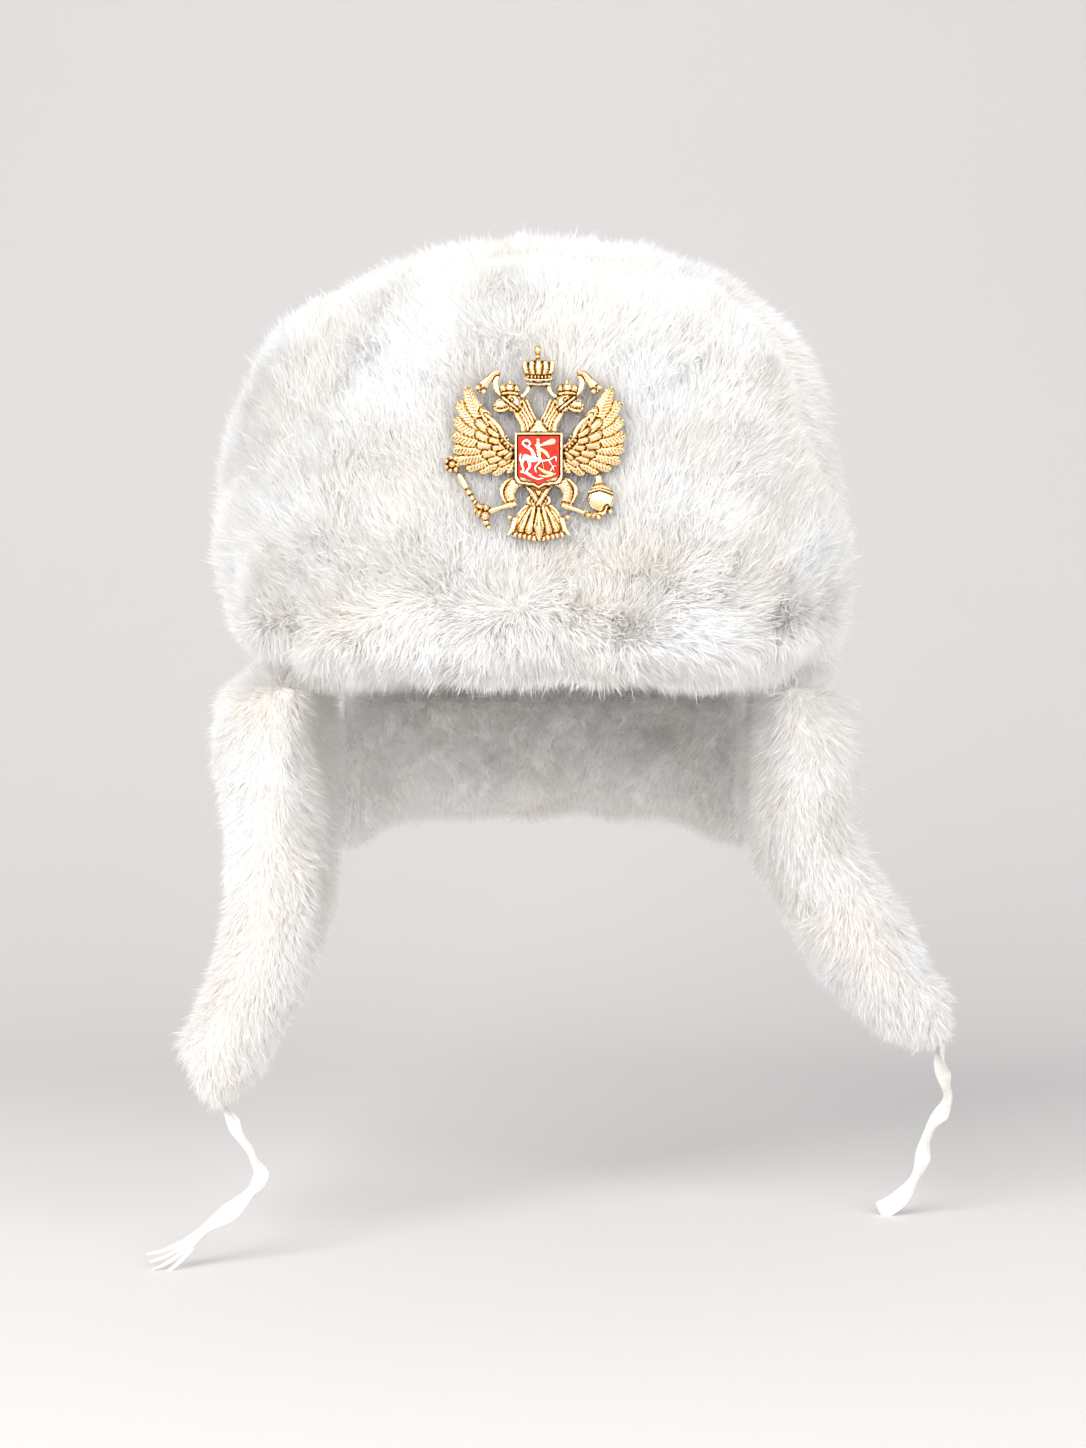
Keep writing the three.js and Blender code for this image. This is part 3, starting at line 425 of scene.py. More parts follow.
def pile(name, roots, tips, normals, width, seed, material, bend=0.0):
    """All the hairs of one piece as flat pointed blades, each with a place of its own in the baking map.

    With a bend, each blade has one more pair of points halfway, moved sideways by that share of its length.
    """
    count = len(roots)
    random = np.random.default_rng(seed)
    side = unit(np.cross(tips - roots, normals + random.normal(scale=1.2, size=(count, 3))))
    half = (width / 2 * random.uniform(0.7, 1.3, count))[:, None] * side
    corner = np.array([[0.1, 0.1], [0.9, 0.1], [0.5, 0.9]])
    if bend:
        reach = np.linalg.norm(tips - roots, axis=1)[:, None]
        middle = (roots + tips) / 2 + bend * reach * unit(normals + random.normal(scale=0.8, size=(count, 3)))
        points = np.stack([roots - half, roots + half, middle + 0.9 * half, middle - 0.9 * half, tips], axis=1)
        corner = np.array([[0.1, 0.1], [0.9, 0.1], [0.8, 0.5], [0.2, 0.5], [0.2, 0.5], [0.8, 0.5], [0.5, 0.9]])
        order = np.array([0, 1, 2, 3, 3, 2, 4])
        starts = np.array([0, 4])
        share = [0.0, 0.0, 0.5, 0.5, 1.0]
    else:
        points = np.stack([roots - half, roots + half, tips], axis=1)
        order = np.array([0, 1, 2])
        starts = np.array([0])
        share = [0.0, 0.0, 1.0]
    each = np.arange(count)[:, None]
    mesh = bpy.data.meshes.new(name)
    mesh.vertices.add(points.shape[1] * count)
    mesh.vertices.foreach_set("co", points.reshape(-1))
    mesh.loops.add(len(order) * count)
    mesh.loops.foreach_set("vertex_index", (order + points.shape[1] * each).reshape(-1))
    mesh.polygons.add(len(starts) * count)
    mesh.polygons.foreach_set("loop_start", (starts + len(order) * each).reshape(-1))
    mesh.polygons.foreach_set("use_smooth", np.ones(len(starts) * count, bool))
    along = mesh.attributes.new("along", "FLOAT", "POINT")
    along.data.foreach_set("value", np.tile(share, count))
    cells = math.ceil(math.sqrt(count))
    cell = np.stack([np.arange(count) % cells, np.arange(count) // cells], axis=1)[:, None, :]
    layer = mesh.uv_layers.new(name="OFBake")
    layer.data.foreach_set("uv", ((cell + corner) / cells).reshape(-1))
    mesh.update(calc_edges=True)
    mesh.materials.append(material)
    piece = bpy.data.objects.new(name, mesh)
    bpy.context.scene.collection.objects.link(piece)
    return piece


# Fur pieces. hairs and guard are counts; length, sink (how far the ground lies under the solid's surface) and voxel
# (the ground's mesh size) are in millimetres; lean is in degrees; parts is the number of pieces that the pile is split
# into; inner says whether the side that faces the hollow has fur too.
OUTER = {"length": 8.5, "inner": False}
HANGING = {"length": 7.5, "lean": 44, "parts": 1, "inner": True, "voxel": 3.5}
FUR = {
    "crown": {**OUTER, "hairs": 122000, "guard": 10000, "lean": 36, "sink": 6.5, "parts": 1, "voxel": 5},
    "front_flap": {**OUTER, "hairs": 286000, "guard": 27000, "lean": 42, "sink": 5.5, "parts": 2, "voxel": 3.5},
    "ear_flap_left": {**HANGING, "hairs": 92000, "guard": 9000, "sink": 4.5},
    "ear_flap_right": {**HANGING, "hairs": 92000, "guard": 9000, "sink": 4.5},
    "neck_flap": {**HANGING, "hairs": 44000, "guard": 4000, "sink": 3.5, "length": 7},
}
HAIR_WIDTH = 0.3 * MM
GUARD_WIDTH = 0.4 * MM
GUARD_LENGTH = 1.25  # share of the pile's length
GUARD_BEND = 0.1  # share of a guard hair's length
GUARD_LEAN = 6  # degrees past the pile's lean
GUARD_RAGGED = 0.35
PILE_RAGGED = 0.2
PILE_LOCK = 30  # hairs to a lock
GUARD_LOCK = 3
GATHER = 0.3  # how far the hairs of a lock close up
GROUND_SEED, ROOT_SEED, HAIR_SEED, BLADE_SEED, COMB_SEED = 11, 21, 31, 41, 51
SOFT_ROUNDS = 9  # smoothing of the grounds before they are sunk
RELAX_ROUNDS = 4  # and after
SEAM_FADE = 10 * MM  # height over which a hanging flap's ground comes up to its seam
SPARE_ROOTS = 2.6  # places tried for each hair that is wanted
COVER_REACH = 12 * MM  # crown fur this near under the front flap is left out
FLAP_PARTING = -122 * MM  # height where the front flap's pile turns from up to down
BADGE_SPREAD = 15 * MM  # how far round the badge the pile is pressed back
BADGE_GROUND = 3 * MM  # how far the ground stays behind the pressed pile
BADGE_SINK = 0.4 * MM  # how far the pile stays behind the badge's back
BADGE_MARGIN = 1 * MM  # how far past the badge's edge it stays pressed flat
BADGE_RISE = 0.5  # how steeply it rises from there


def badge_press(points, eagle, back):
    """Furthest that fur may stand forward at each point: behind the badge, and rising away from it."""
    allowed = np.full(len(points), -1.0)
    low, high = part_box("badge_eagle")
    near = (points[:, 1] < 0) & (points[:, 0] > low.x - BADGE_SPREAD) & (points[:, 0] < high.x + BADGE_SPREAD)
    near &= (points[:, 2] > low.z - BADGE_SPREAD) & (points[:, 2] < high.z + BADGE_SPREAD)
    for k in np.flatnonzero(near):
        place = Vector((points[k, 0], back, points[k, 2]))
        away = (eagle.find_nearest(place)[0] - place).length
        allowed[k] = back + BADGE_SINK - BADGE_RISE * max(0.0, away - BADGE_MARGIN)
    return allowed


def comb_down(roots):
    return np.tile(-UP, (len(roots), 1))


def comb_flap(roots):
    """The turned-up flap is combed upwards, and downwards along its lower roll."""
    level = roots[:, 2] - FLAP_PARTING + 10 * MM * swirl(roots, 0.07, COMB_SEED)[:, 0]
    upwards = np.tanh(level / (12 * MM)) * np.clip(1 - (roots[:, 2] + 60 * MM) / (80 * MM), 0.5, 1)
    aside = 0.9 * (1 - np.abs(upwards)) * np.sin(roots[:, 0] * 45 + swirl(roots, 0.09, COMB_SEED + 1)[:, 0])
    return np.stack([aside, np.zeros(len(roots)), upwards], axis=1)


COMBS = {"front_flap": comb_flap}


def tag(piece, node):
    """Hides the node that the piece stands in for, and hangs the piece on the hat."""
    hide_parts(node)
    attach(piece, "root")


def fur_ground(node, spec, materials, eagle, back):
    """The soft ground under one fur solid's surface. Gives its mesh."""
    mesh = soft_copy(node, spec["voxel"] * MM)
    points = points_of(mesh)
    normals = normals_of(mesh)
    outside = ((points - HOLLOW) * normals).sum(1) > 0 if not spec["inner"] else np.ones(len(points), bool)
    swell = 1.5 * MM * swirl(points, 0.05, GROUND_SEED)[:, 0] + 0.6 * MM * swirl(points, 0.022, GROUND_SEED + 1)[:, 0]
    if spec["inner"]:  # the hanging flaps stay full along their seams at the top
        outside = outside * np.clip((points[:, 2].max() - points[:, 2]) / SEAM_FADE, 0, 1)
    if node == "crown":  # its underside stays where the hanging flaps are sewn on
        outside = outside * np.clip(1 + 1.5 * normals[:, 2], 0, 1)
    points = relaxed(mesh, points + normals * ((swell - spec["sink"] * MM) * outside)[:, None], RELAX_ROUNDS)
    points[:, 1] = np.maximum(points[:, 1], badge_press(points, eagle, back) + BADGE_GROUND)
    mesh.vertices.foreach_set("co", points.reshape(-1))
    mesh.update()
    mesh.materials.clear()
    mesh.materials.append(materials["underfur"])
    mesh.materials.append(materials["lining"])
    mesh.polygons.foreach_set("use_smooth", np.ones(len(mesh.polygons), bool))
    centres = np.zeros(len(mesh.polygons) * 3)
    facing = np.zeros(len(mesh.polygons) * 3)
    mesh.polygons.foreach_get("center", centres)
    mesh.polygons.foreach_get("normal", facing)
    lined = ((centres.reshape(-1, 3) - HOLLOW) * facing.reshape(-1, 3)).sum(1) < 0
    mesh.polygons.foreach_set("material_index", (lined & (not spec["inner"])).astype(np.int32))
    ground = bpy.data.objects.new(node + "_ground", mesh)
    bpy.context.scene.collection.objects.link(ground)
    tag(ground, node)
    return mesh


def fur_piece(node, spec, materials, eagle, cover):
    """The ground and the pile that replace one fur solid. No hair grows where cover lies over it."""
    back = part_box("badge_eagle")[1].y
    mesh = fur_ground(node, spec, materials, eagle, back)
    wanted = spec["hairs"] + spec["guard"]
    roots, root_normals = scatter(mesh, int(wanted * SPARE_ROOTS), ROOT_SEED)
    keep = np.ones(len(roots), bool)
    if not spec["inner"]:
        keep &= ((roots - HOLLOW) * root_normals).sum(1) > 0
    if cover is not None:
        blocked = [cover.ray_cast(Vector(p), Vector(n), COVER_REACH)[0] for p, n in zip(roots, root_normals)]
        keep &= np.array([hit is None for hit in blocked])
    chosen = np.flatnonzero(keep)[:wanted]
    roots, root_normals = roots[chosen], root_normals[chosen]
    length = spec["length"] * MM
    comb = COMBS.get(node, comb_down)
    short, long = slice(0, spec["hairs"]), slice(spec["hairs"], wanted)
    lean, longer = spec["lean"], GUARD_LENGTH * length
    tips = np.vstack([
        hair_lines(roots[short], root_normals[short], length, lean, comb, PILE_LOCK, PILE_RAGGED),
        hair_lines(roots[long], root_normals[long], longer, lean + GUARD_LEAN, comb, GUARD_LOCK, GUARD_RAGGED),
    ])
    batches = []
    for part in range(spec["parts"]):
        batches.append((f"{node}_pile_{part + 1}", slice(part, spec["hairs"], spec["parts"]), HAIR_WIDTH, 0))
    batches.append((f"{node}_guard_hairs", long, GUARD_WIDTH, GUARD_BEND))
    for part, (name, some, width, bend) in enumerate(batches):
        ends = tips[some]
        ends[:, 1] = np.maximum(ends[:, 1], badge_press(ends, eagle, back))
        hairs = pile(name, roots[some], ends, root_normals[some], width, BLADE_SEED + part, materials["fur"], bend)
        tag(hairs, node)


def bvh_of(node):
    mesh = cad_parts[node].data
    return BVHTree.FromPolygons([v.co for v in mesh.vertices], [p.vertices for p in mesh.polygons])


# Badge: a cast relief drawn with strokes in millimetres, x to the right and y up, from the badge's middle
BADGE_X = -1.5 * MM
BADGE_Z = -62 * MM
BADGE_HALF_WIDTH = 32.4
BADGE_HALF_HEIGHT = 34.6
PITCH = 0.27  # grid of the relief
EDGE = 0.9  # height of the cast edge
GROOVE = 0.34  # width of the recess round each form
RIB_WIDTH = 0.28
SHIELD_TOP = 3.1  # height of the shield's frame
FIELD_TOP = 2.16  # just past the front of the enamel
FIGURE_PITCH = 0.155  # grid, edge and groove of the figures on the enamel
FIGURE_EDGE = 0.2
FIGURE_GROOVE = 0.1


class Relief:
    """A grid of heights, in millimetres, that strokes and beads are laid on, one over another."""

    def __init__(self, low, high, pitch, edge, groove, back):
        xs = np.arange(low[0], high[0] + pitch, pitch)
        ys = np.arange(low[1], high[1] + pitch, pitch)
        self.x, self.y = np.meshgrid(xs, ys)
        self.height = np.full(self.x.shape, -1.0)
        self.low, self.pitch, self.edge, self.groove, self.back = low, pitch, edge, groove, back

    def lay(self, side, away, height):
        """Lays a form: side is 0 in its middle and 1 at its edge, away the distance past the edge."""
        recess = (side > 1) & (away < self.groove) & (self.height > 0)
        lowered = np.maximum(self.height[recess] - 0.9 * self.edge, 0.5 * self.edge)
        self.height[recess] = np.minimum(self.height[recess], lowered)
        inside = side <= 1
        self.height[inside] = height[inside]

    def bead(self, place, radius, top, squash=1.0):
        away = np.hypot(self.x - place[0], (self.y - place[1]) / squash)
        side = away / radius
        dome = np.sqrt(np.clip(1 - side**2, 0, 1))
        self.lay(side, away - radius, self.edge + (top - self.edge) * dome)

    def stroke(self, points, widths, tops, barbs=0.0, pitch=1.0, rib=0.0):
        """A domed band along a line. barbs is the depth of its slanting barbs and rib the height of its middle rib."""
        points = smooth_path(points, 6) if len(points) > 2 else np.asarray(points, float)  # two points stay straight
        steps = np.linalg.norm(np.diff(points, axis=0), axis=1)
        at = np.concatenate([[0], np.cumsum(steps)])
        width = np.interp(at / at[-1], np.linspace(0, 1, len(widths)), widths) / 2
        top = np.interp(at / at[-1], np.linspace(0, 1, len(tops)), tops)
        side = np.full(self.x.shape, 9.0)
        away = np.full(self.x.shape, 9.0)
        height = np.zeros(self.x.shape)
        for k in range(len(points) - 1):
            start, step = points[k], points[k + 1] - points[k]
            share = ((self.x - start[0]) * step[0] + (self.y - start[1]) * step[1]) / (step @ step)
            share = np.clip(share, 0, 1)
            dx = self.x - start[0] - share * step[0]
            dy = self.y - start[1] - share * step[1]
            off = np.hypot(dx, dy)
            half = width[k] + share * (width[k + 1] - width[k])
            nearer = off / half < side
            across = (dy * step[0] - dx * step[1]) / steps[k]
            along = at[k] + (dx * step[0] + dy * step[1]) / steps[k] + share * steps[k]
            q = np.clip(off / half, 0, 1)
            peak = top[k] + share * (top[k + 1] - top[k])
            bump = self.edge + (peak - self.edge) * (1 - q**2) ** 0.5
            if barbs:
                bump += barbs * np.sin(2 * math.pi * (along - 0.8 * np.abs(across)) / pitch) * (1 - q**4)
            if rib:
                bump += rib * np.exp(-((across / RIB_WIDTH) ** 2))
            side = np.where(nearer, off / half, side)
            away = np.where(nearer, off - half, away)
            height = np.where(nearer, bump, height)
        self.lay(side, away, height)

    def hollowness(self):
        """How far each place lies under the mean height round it, from 0 to 1, which sets the painted shade in the
        gilt's hollows.
        """
        level = np.where(self.height > 0, self.height, 0.35)
        total, weight = np.zeros_like(level), 0.0
        for dx in range(-3, 4):
            for dy in range(-3, 4):
                share = math.exp(-(dx * dx + dy * dy) / 5)
                total += share * np.roll(np.roll(level, dx, 1), dy, 0)
                weight += share
        return np.clip((total / weight - level) / 0.5 + 0.12, 0, 1) * (self.height > 0)

    def piece(self, name, material):
        """The relief as one closed mesh on the front of the hat."""
        solid = self.height > 0
        cell = solid[:-1, :-1] & solid[1:, :-1] & solid[1:, 1:] & solid[:-1, 1:]
        rows, columns = np.nonzero(cell)
        wide = self.x.shape[1]
        corner = rows * wide + columns
        quads = np.stack([corner, corner + 1, corner + 1 + wide, corner + wide], axis=1)
        used, index = np.unique(quads, return_inverse=True)
        quads = index.reshape(-1, 4)
        flat = np.stack([self.x.reshape(-1)[used], self.y.reshape(-1)[used]], axis=1)
        top = self.height.reshape(-1)[used]
        # painted shade: how dark the gilt's colour is painted at each point, deeper in the recesses
        hollow = self.hollowness().reshape(-1)[used]
        edges = np.stack([quads, np.roll(quads, -1, axis=1)], axis=2).reshape(-1, 2)
        key = np.sort(edges, axis=1)
        _, first, count = np.unique(key, axis=0, return_index=True, return_counts=True)
        rim = edges[first[count == 1]]
        for _ in range(3):  # rounds off the grid's steps along the outline
            total, number = np.zeros_like(flat), np.zeros(len(flat))
            for a, b in (rim.T, rim.T[::-1]):
                np.add.at(total, a, flat[b])
                np.add.at(number, a, 1)
            on_rim = number > 0
            flat[on_rim] = 0.5 * flat[on_rim] + 0.5 * total[on_rim] / number[on_rim][:, None]
        rim_points, place = np.unique(rim, return_inverse=True)
        place = place.reshape(-1, 2)
        upper = len(flat) + np.arange(len(rim_points))
        lower = upper + len(rim_points)
        walls = np.stack([upper[place[:, 0]], lower[place[:, 0]], lower[place[:, 1]], upper[place[:, 1]]], axis=1)
        plan = np.vstack([flat, flat[rim_points], flat[rim_points]])
        level = np.concatenate([top, top[rim_points], np.zeros(len(rim_points))])
        # the side walls get painted shade too, a fixed dark share
        dark = np.concatenate([hollow, np.full(2 * len(rim_points), 0.7)])
        backs = self.back_triangles(flat[rim_points], place, solid)
        faces = [tuple(q) for q in quads] + [tuple(w) for w in walls]
        faces += [tuple(lower[list(t)]) for t in backs]
        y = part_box("badge_eagle")[1].y - self.back * MM
        points = np.stack([BADGE_X + plan[:, 0] * MM, y - level * MM, BADGE_Z + plan[:, 1] * MM], axis=1)
        piece = add_mesh(name, points, faces, material)
        shown = piece.data.attributes.new("hollow", "FLOAT", "POINT")
        shown.data.foreach_set("value", dark)
        return piece

    def back_triangles(self, points, links, solid):
        """Triangles that close the flat back, between the points of the outline."""
        verts = [Vector(p) for p in points]
        made = delaunay_2d_cdt(verts, [tuple(int(i) for i in link) for link in links], [], 1, 1e-5)
        triangles = []
        for triangle in made[2]:
            middle = sum((made[0][i] for i in triangle), Vector((0, 0))) / 3
            column = int(round((middle.x - self.low[0]) / self.pitch))
            row = int(round((middle.y - self.low[1]) / self.pitch))
            origins = [made[3][i][0] if made[3][i] else None for i in triangle]
            if None not in origins and solid[row, column]:
                triangles.append(origins[::-1])
        return triangles


# Feathers of one wing from root to tip, with x outwards
LONG_FEATHERS = [
    [(8.6, -3.4), (9.6, -6), (10.2, -8)],
    [(10.4, -3), (12.6, -6.4), (14.4, -9)],
    [(12.5, -2.4), (16.2, -6), (19, -8.4)],
    [(13.6, -1.6), (19.2, -5), (23.3, -7.6)],
    [(14.4, -0.6), (21.4, -3.4), (26.4, -5.2)],
    [(15, 0.8), (22.2, -0.8), (27.8, -1.4)],
    [(15.4, 2.2), (22.6, 1.8), (28.4, 2.8)],
    [(15.8, 3.6), (22.4, 5), (27.8, 7.8)],
    [(16, 5), (22, 8.2), (27, 13.4)],
    [(15.8, 6.4), (20.8, 11), (24.4, 18.2)],
]
MIDDLE_FEATHERS = [
    [(9.4, -2.6), (11.4, -4.6), (12.8, -6)],
    [(11, -2), (14, -3.8), (16, -5)],
    [(12.2, -1), (15.6, -2.2), (18.2, -3)],
    [(13, 0.4), (17, 0), (19.8, 0)],
    [(13.4, 2), (17.4, 2.4), (20.4, 3.4)],
    [(13.8, 4), (17.4, 5.4), (20.4, 7.6)],
    [(14, 5.6), (16.8, 8.4), (19, 11.6)],
]
SHORT_FEATHERS = [
    [(8.6, -1.6), (10.2, -3.2), (11, -4.2)],
    [(9.6, -0.8), (11.8, -2.2), (13.2, -3)],
    [(10.4, 0.2), (13.2, -0.6), (15, -1)],
    [(11, 1.6), (14, 1.4), (16.2, 1.6)],
    [(11.6, 3), (14.4, 3.8), (16.6, 5)],
    [(12.2, 4.4), (14.4, 6), (16.2, 8.4)],
]


def badge_side(relief, side):
    """One half of the eagle. side is -1 for the left and 1 for the right."""

    def flip(*points):
        return [(side * x, y) for x, y in points]

    for feather in LONG_FEATHERS:
        relief.stroke(flip(*feather), [2.8, 5, 5.6, 4.2], [1.7, 2.3, 2.2], barbs=0.3, pitch=1.25, rib=0.3)
    for feather in MIDDLE_FEATHERS:
        relief.stroke(flip(*feather), [2.4, 3.6, 3.8, 3.2], [2.1, 2.7, 2.6], barbs=0.07, pitch=0.8, rib=0.15)
    for feather in SHORT_FEATHERS:
        relief.stroke(flip(*feather), [2, 2.8, 3, 2.4], [2.5, 3, 2.9], rib=0.12)
    shoulder = flip((7.8, -1), (10.2, -0.4), (11.9, 1.4), (12.6, 4.4), (15, 7.8), (18.2, 10.4))
    relief.stroke(shoulder, [2.8, 2.2, 2, 2.2, 1.9, 1.1], [2.4, 2.9, 3, 2.9, 2.6, 2])
    for k in range(4):
        relief.bead(flip((9.6 + 1.0 * k, -1.6 + 1.0 * k))[0], 0.7, 3.2)
    # leg: an outer strap, the feathered thigh and the heel
    strap = flip((7.4, -12), (10.6, -12.8), (12.8, -15.4), (12.2, -18), (11, -20.2))
    relief.stroke(strap, [2, 2.2, 2.2, 2, 1.6], [2.2, 2.5])
    thigh = flip((5.6, -12.4), (8.2, -13.6), (9.8, -16.2), (9.4, -18.6), (8.4, -20.6))
    relief.stroke(thigh, [3, 4, 4.4, 3.8, 2.4], [2.3, 2.9, 2.9, 2.6, 2.2], barbs=0.2, pitch=1.2)
    # ribbon from the great crown over the head, and past it to the folded end
    relief.stroke(flip((3.2, 20.4), (4.1, 18.2), (5.6, 16.8), (8.4, 16.4), (11.8, 17)), [1.9, 1.8, 1.8, 1.9, 1.8], [2])
    relief.stroke(flip((12.4, 16.8), (14.2, 18.8), (14.9, 21.2), (14.3, 24)), [1.8, 2.3, 2.6, 2.6], [1.9, 2.1])
    folded_end = flip((13.8, 25), (15.8, 24.4), (18, 21.8), (19.6, 19.8))
    relief.stroke(folded_end, [1.8, 2.5, 3.2, 4.2], [2.8, 2.7, 2.4, 2.2], rib=0.25)
    relief.bead(flip((18.8, 18.3))[0], 1.1, 2.4)
    relief.bead(flip((20.9, 19.7))[0], 1.1, 2.4)
    # neck with its long feathers
    for k in range(5):
        line = flip((0.9 + 1.1 * k, 3.2), (1 + 1.2 * k, 7), (2.6 + 1.35 * k, 10.8), (4.2 + 1.25 * k, 15.2 - 0.5 * k))
        relief.stroke(line, [2.2, 2.3, 2.2, 1.6], [2.5 + 0.08 * k, 3, 3, 2.7], barbs=0.1, pitch=1.2)
    # head: cheek, rounded beak with its gap, brow and eye
    relief.bead(flip((8.9, 14.3))[0], 3.3, 3.4)
    relief.bead(flip((12.9, 13.4))[0], 3, 3.2, 0.92)
    relief.stroke(flip((11, 13), (13.4, 12.4), (15.2, 12.9)), [0.45, 0.5, 0.4], [1.6])
    relief.stroke(flip((7.2, 12), (9.6, 14), (12.4, 16.3)), [1, 1.2, 1.1], [3.5, 3.7, 3.2])
    relief.bead(flip((9.2, 15.3))[0], 0.6, 4)
    # small crown: knob, three lobes and band
    relief.bead(flip((9.8, 21.7))[0], 0.75, 2.4)
    for place in ((7.9, 19.3), (11.7, 19.3), (9.8, 19.7)):
        relief.bead(flip(place)[0], 1.6, 2.8, 1.15)
    relief.stroke(flip((7.2, 17.5), (9.8, 17.9), (12.3, 17.5)), [1.1, 1.1], [2.8])


def make_badge_relief():
    """The gilt casting, laid from the lowest forms to the highest."""
    low, high = (-BADGE_HALF_WIDTH, -BADGE_HALF_HEIGHT), (BADGE_HALF_WIDTH, BADGE_HALF_HEIGHT)
    relief = Relief(low, high, PITCH, EDGE, GROOVE, 0.0)
    # sceptre: shaft, its upper sleeve with rings, ornate head and foot
    relief.stroke([(-27.4, -10.2), (-23.8, -16.4), (-20.4, -22.1), (-17.2, -28.6)], [2.2, 2.1, 2, 2], [2.1])
    relief.stroke([(-27.2, -10.6), (-25.6, -13.4), (-24.4, -15.6)], [2.3, 2.8, 2.3], [2.4])
    for place, radius in (((-24, -16.4), 1.35), ((-22.9, -18.2), 1.1), ((-17.2, -28.4), 1.15), ((-18.2, -26.4), 1.45)):
        relief.bead(place, radius, 2.5)
    relief.bead((-29.8, -6.7), 3, 2.6)
    for k in range(7):
        turn = 2 * math.pi * k / 7
        relief.bead((-29.8 + 2.0 * math.cos(turn), -6.7 + 2.2 * math.sin(turn)), 1.05, 2.8)
    relief.bead((-29.8, -6.7), 1.3, 3.3)
    # orb: neck, hatched ball and ring
    relief.stroke([(20.6, -11.4), (20.7, -13), (21, -15)], [2.8, 3.4, 4.6], [2.3, 2.6])
    relief.bead((21.4, -18.4), 4.85, 3.5)
    ball = np.hypot(relief.x - 21.4, relief.y + 18.4) < 4.5
    hatch = np.sin(1.9 * math.pi * (relief.x + 0.5 * relief.y)) * np.sin(1.9 * math.pi * (relief.y - 0.3 * relief.x))
    relief.height[ball] += 0.24 * hatch[ball]
    relief.stroke([(17, -16.4), (21, -15.4), (25.4, -16.8)], [0.8], [3.2, 3.6, 3.2])
    # tail: curled side lobes, serrated foot, feathers from the outside in and the drop in the middle
    for side in (-1, 1):
        lobe = [(side * 1.2, -18.4), (side * 4.8, -22.4), (side * 7.8, -25.8), (side * 10, -24.8)]
        relief.stroke(lobe, [2, 2.4, 3, 1.7], [2])
        relief.stroke([(side * 8, -25.8), (side * 8.8, -28.8), (side * 10.6, -31)], [2.6, 2.8, 1.3], [2.1, 2.3, 1.8])
        relief.stroke([(side * 2, -22), (side * 4, -28), (side * 4.4, -29)], [3, 7, 7], [1.2], barbs=0.12, pitch=0.8)
        for k in range(5):
            relief.bead((side * (7.8 - 1.6 * k), -31 - 0.32 * k), 1.15, 2.1)
        for k in range(2):
            foot = (side * (5.9 - 2.5 * k), -28.6 - 0.6 * k)
            bend = (side * (3.8 - 1.6 * k), -24.4)
            relief.stroke([(side * 0.6, -18.6), bend, foot], [1.1, 1.9, 2.9], [2.1, 2.4, 2.4], rib=0.25)
        relief.stroke([(side * 3.2, -17.8), (side * 3.8, -19.4), (side * 3, -20.4)], [1.3, 1.2, 1], [2.2])
    relief.stroke([(0, -19), (0, -24), (0.2, -29.6), (0.2, -32.6)], [1.1, 1.6, 4, 1.6], [2.7, 2.9, 3.4, 2.3], rib=0.3)
    relief.stroke([(0, -12), (0, -16)], [9, 4], [1.8, 2])
    for side in (-1, 1):
        feather = [(side * 4, -13.4), (side * 2, -17), (-side * 0.4, -20.6)]
        relief.stroke(feather, [2.6, 2.2, 1.4], [2.5, 2.7, 2.6], rib=0.3)
    relief.stroke([(0, -1.5), (0, -8)], [15, 15], [1.6])
    for side in (-1, 1):
        badge_side(relief, side)
    relief.stroke([(0, 7.4), (0, 3.4)], [3, 8.5], [2.5, 2.8], barbs=0.15, pitch=1.3)
    # left claw on the sceptre, right claw under the orb
    relief.stroke([(-8.4, -20.4), (-12.4, -21.4), (-17, -22.8)], [2.4, 2.2, 2.8], [2.4, 2.6])
    for x, y, radius in (
        (-18.4, -21.4, 1.5), (-20.4, -21.3, 1.5), (-21.6, -22.9, 1.3), (-20.2, -23.7, 1.5), (-18.4, -24.4, 1.6),
    ):
        relief.bead((x, y), radius, 3.0)
    right_claw = [(8.6, -20.8), (13.4, -22.4), (18.4, -24.4), (22.4, -23.6), (23.4, -21.4)]
    relief.stroke(right_claw, [2.4, 2.3, 2.5, 2, 1.2], [2.4, 2.6, 3, 3.4, 3.7])
    for place in ((17, -24.2), (20.6, -25), (24.6, -23)):
        relief.bead(place, 1.1, 2.9)
    # great crown: knob and stalk, five ribbed lobes that lean out, a row of beads and the band
    relief.stroke([(-0.3, 28.6), (-0.3, 31.6)], [2.1, 1.9], [2.3])
    relief.bead((-0.3, 32.7), 1.55, 2.9, 1.05)
    relief.bead((0, 25.8), 5.5, 2.4, 0.66)
    for x, y, lean in ((-3.7, 26.2, -1.7), (3.7, 26.2, 1.7), (-2, 26.4, -0.6), (2, 26.4, 0.6), (0, 26.6, 0)):
        lobe = [(x * 0.85, y - 2.4), (x + lean * 0.5, y), (x + lean * 0.6, y + 1.9)]
        relief.stroke(lobe, [2, 2.9, 2.2], [2.6, 3.2, 2.7], barbs=0.14, pitch=0.8)
    relief.stroke([(-3.9, 22.9), (0, 22.5), (3.9, 22.9)], [2.2, 2.4, 2.2], [2.6])
    for k in range(7):
        x = -3.6 + 1.2 * k
        relief.bead((x, 23.4 - 0.03 * (16 - x * x) / 4), 0.55, 3.4)
    relief.stroke([(-3.9, 20.9), (0, 20.6), (3.9, 20.9)], [1.1, 1.1], [2.6])
    # shield: a low step, the frame and the cell behind the enamel
    relief.height[shield_inside(relief, 8.5)] = 1.5
    relief.height[shield_inside(relief, 8.2)] = SHIELD_TOP
    relief.height[shield_inside(relief, 7.35)] = 1.3
    return relief


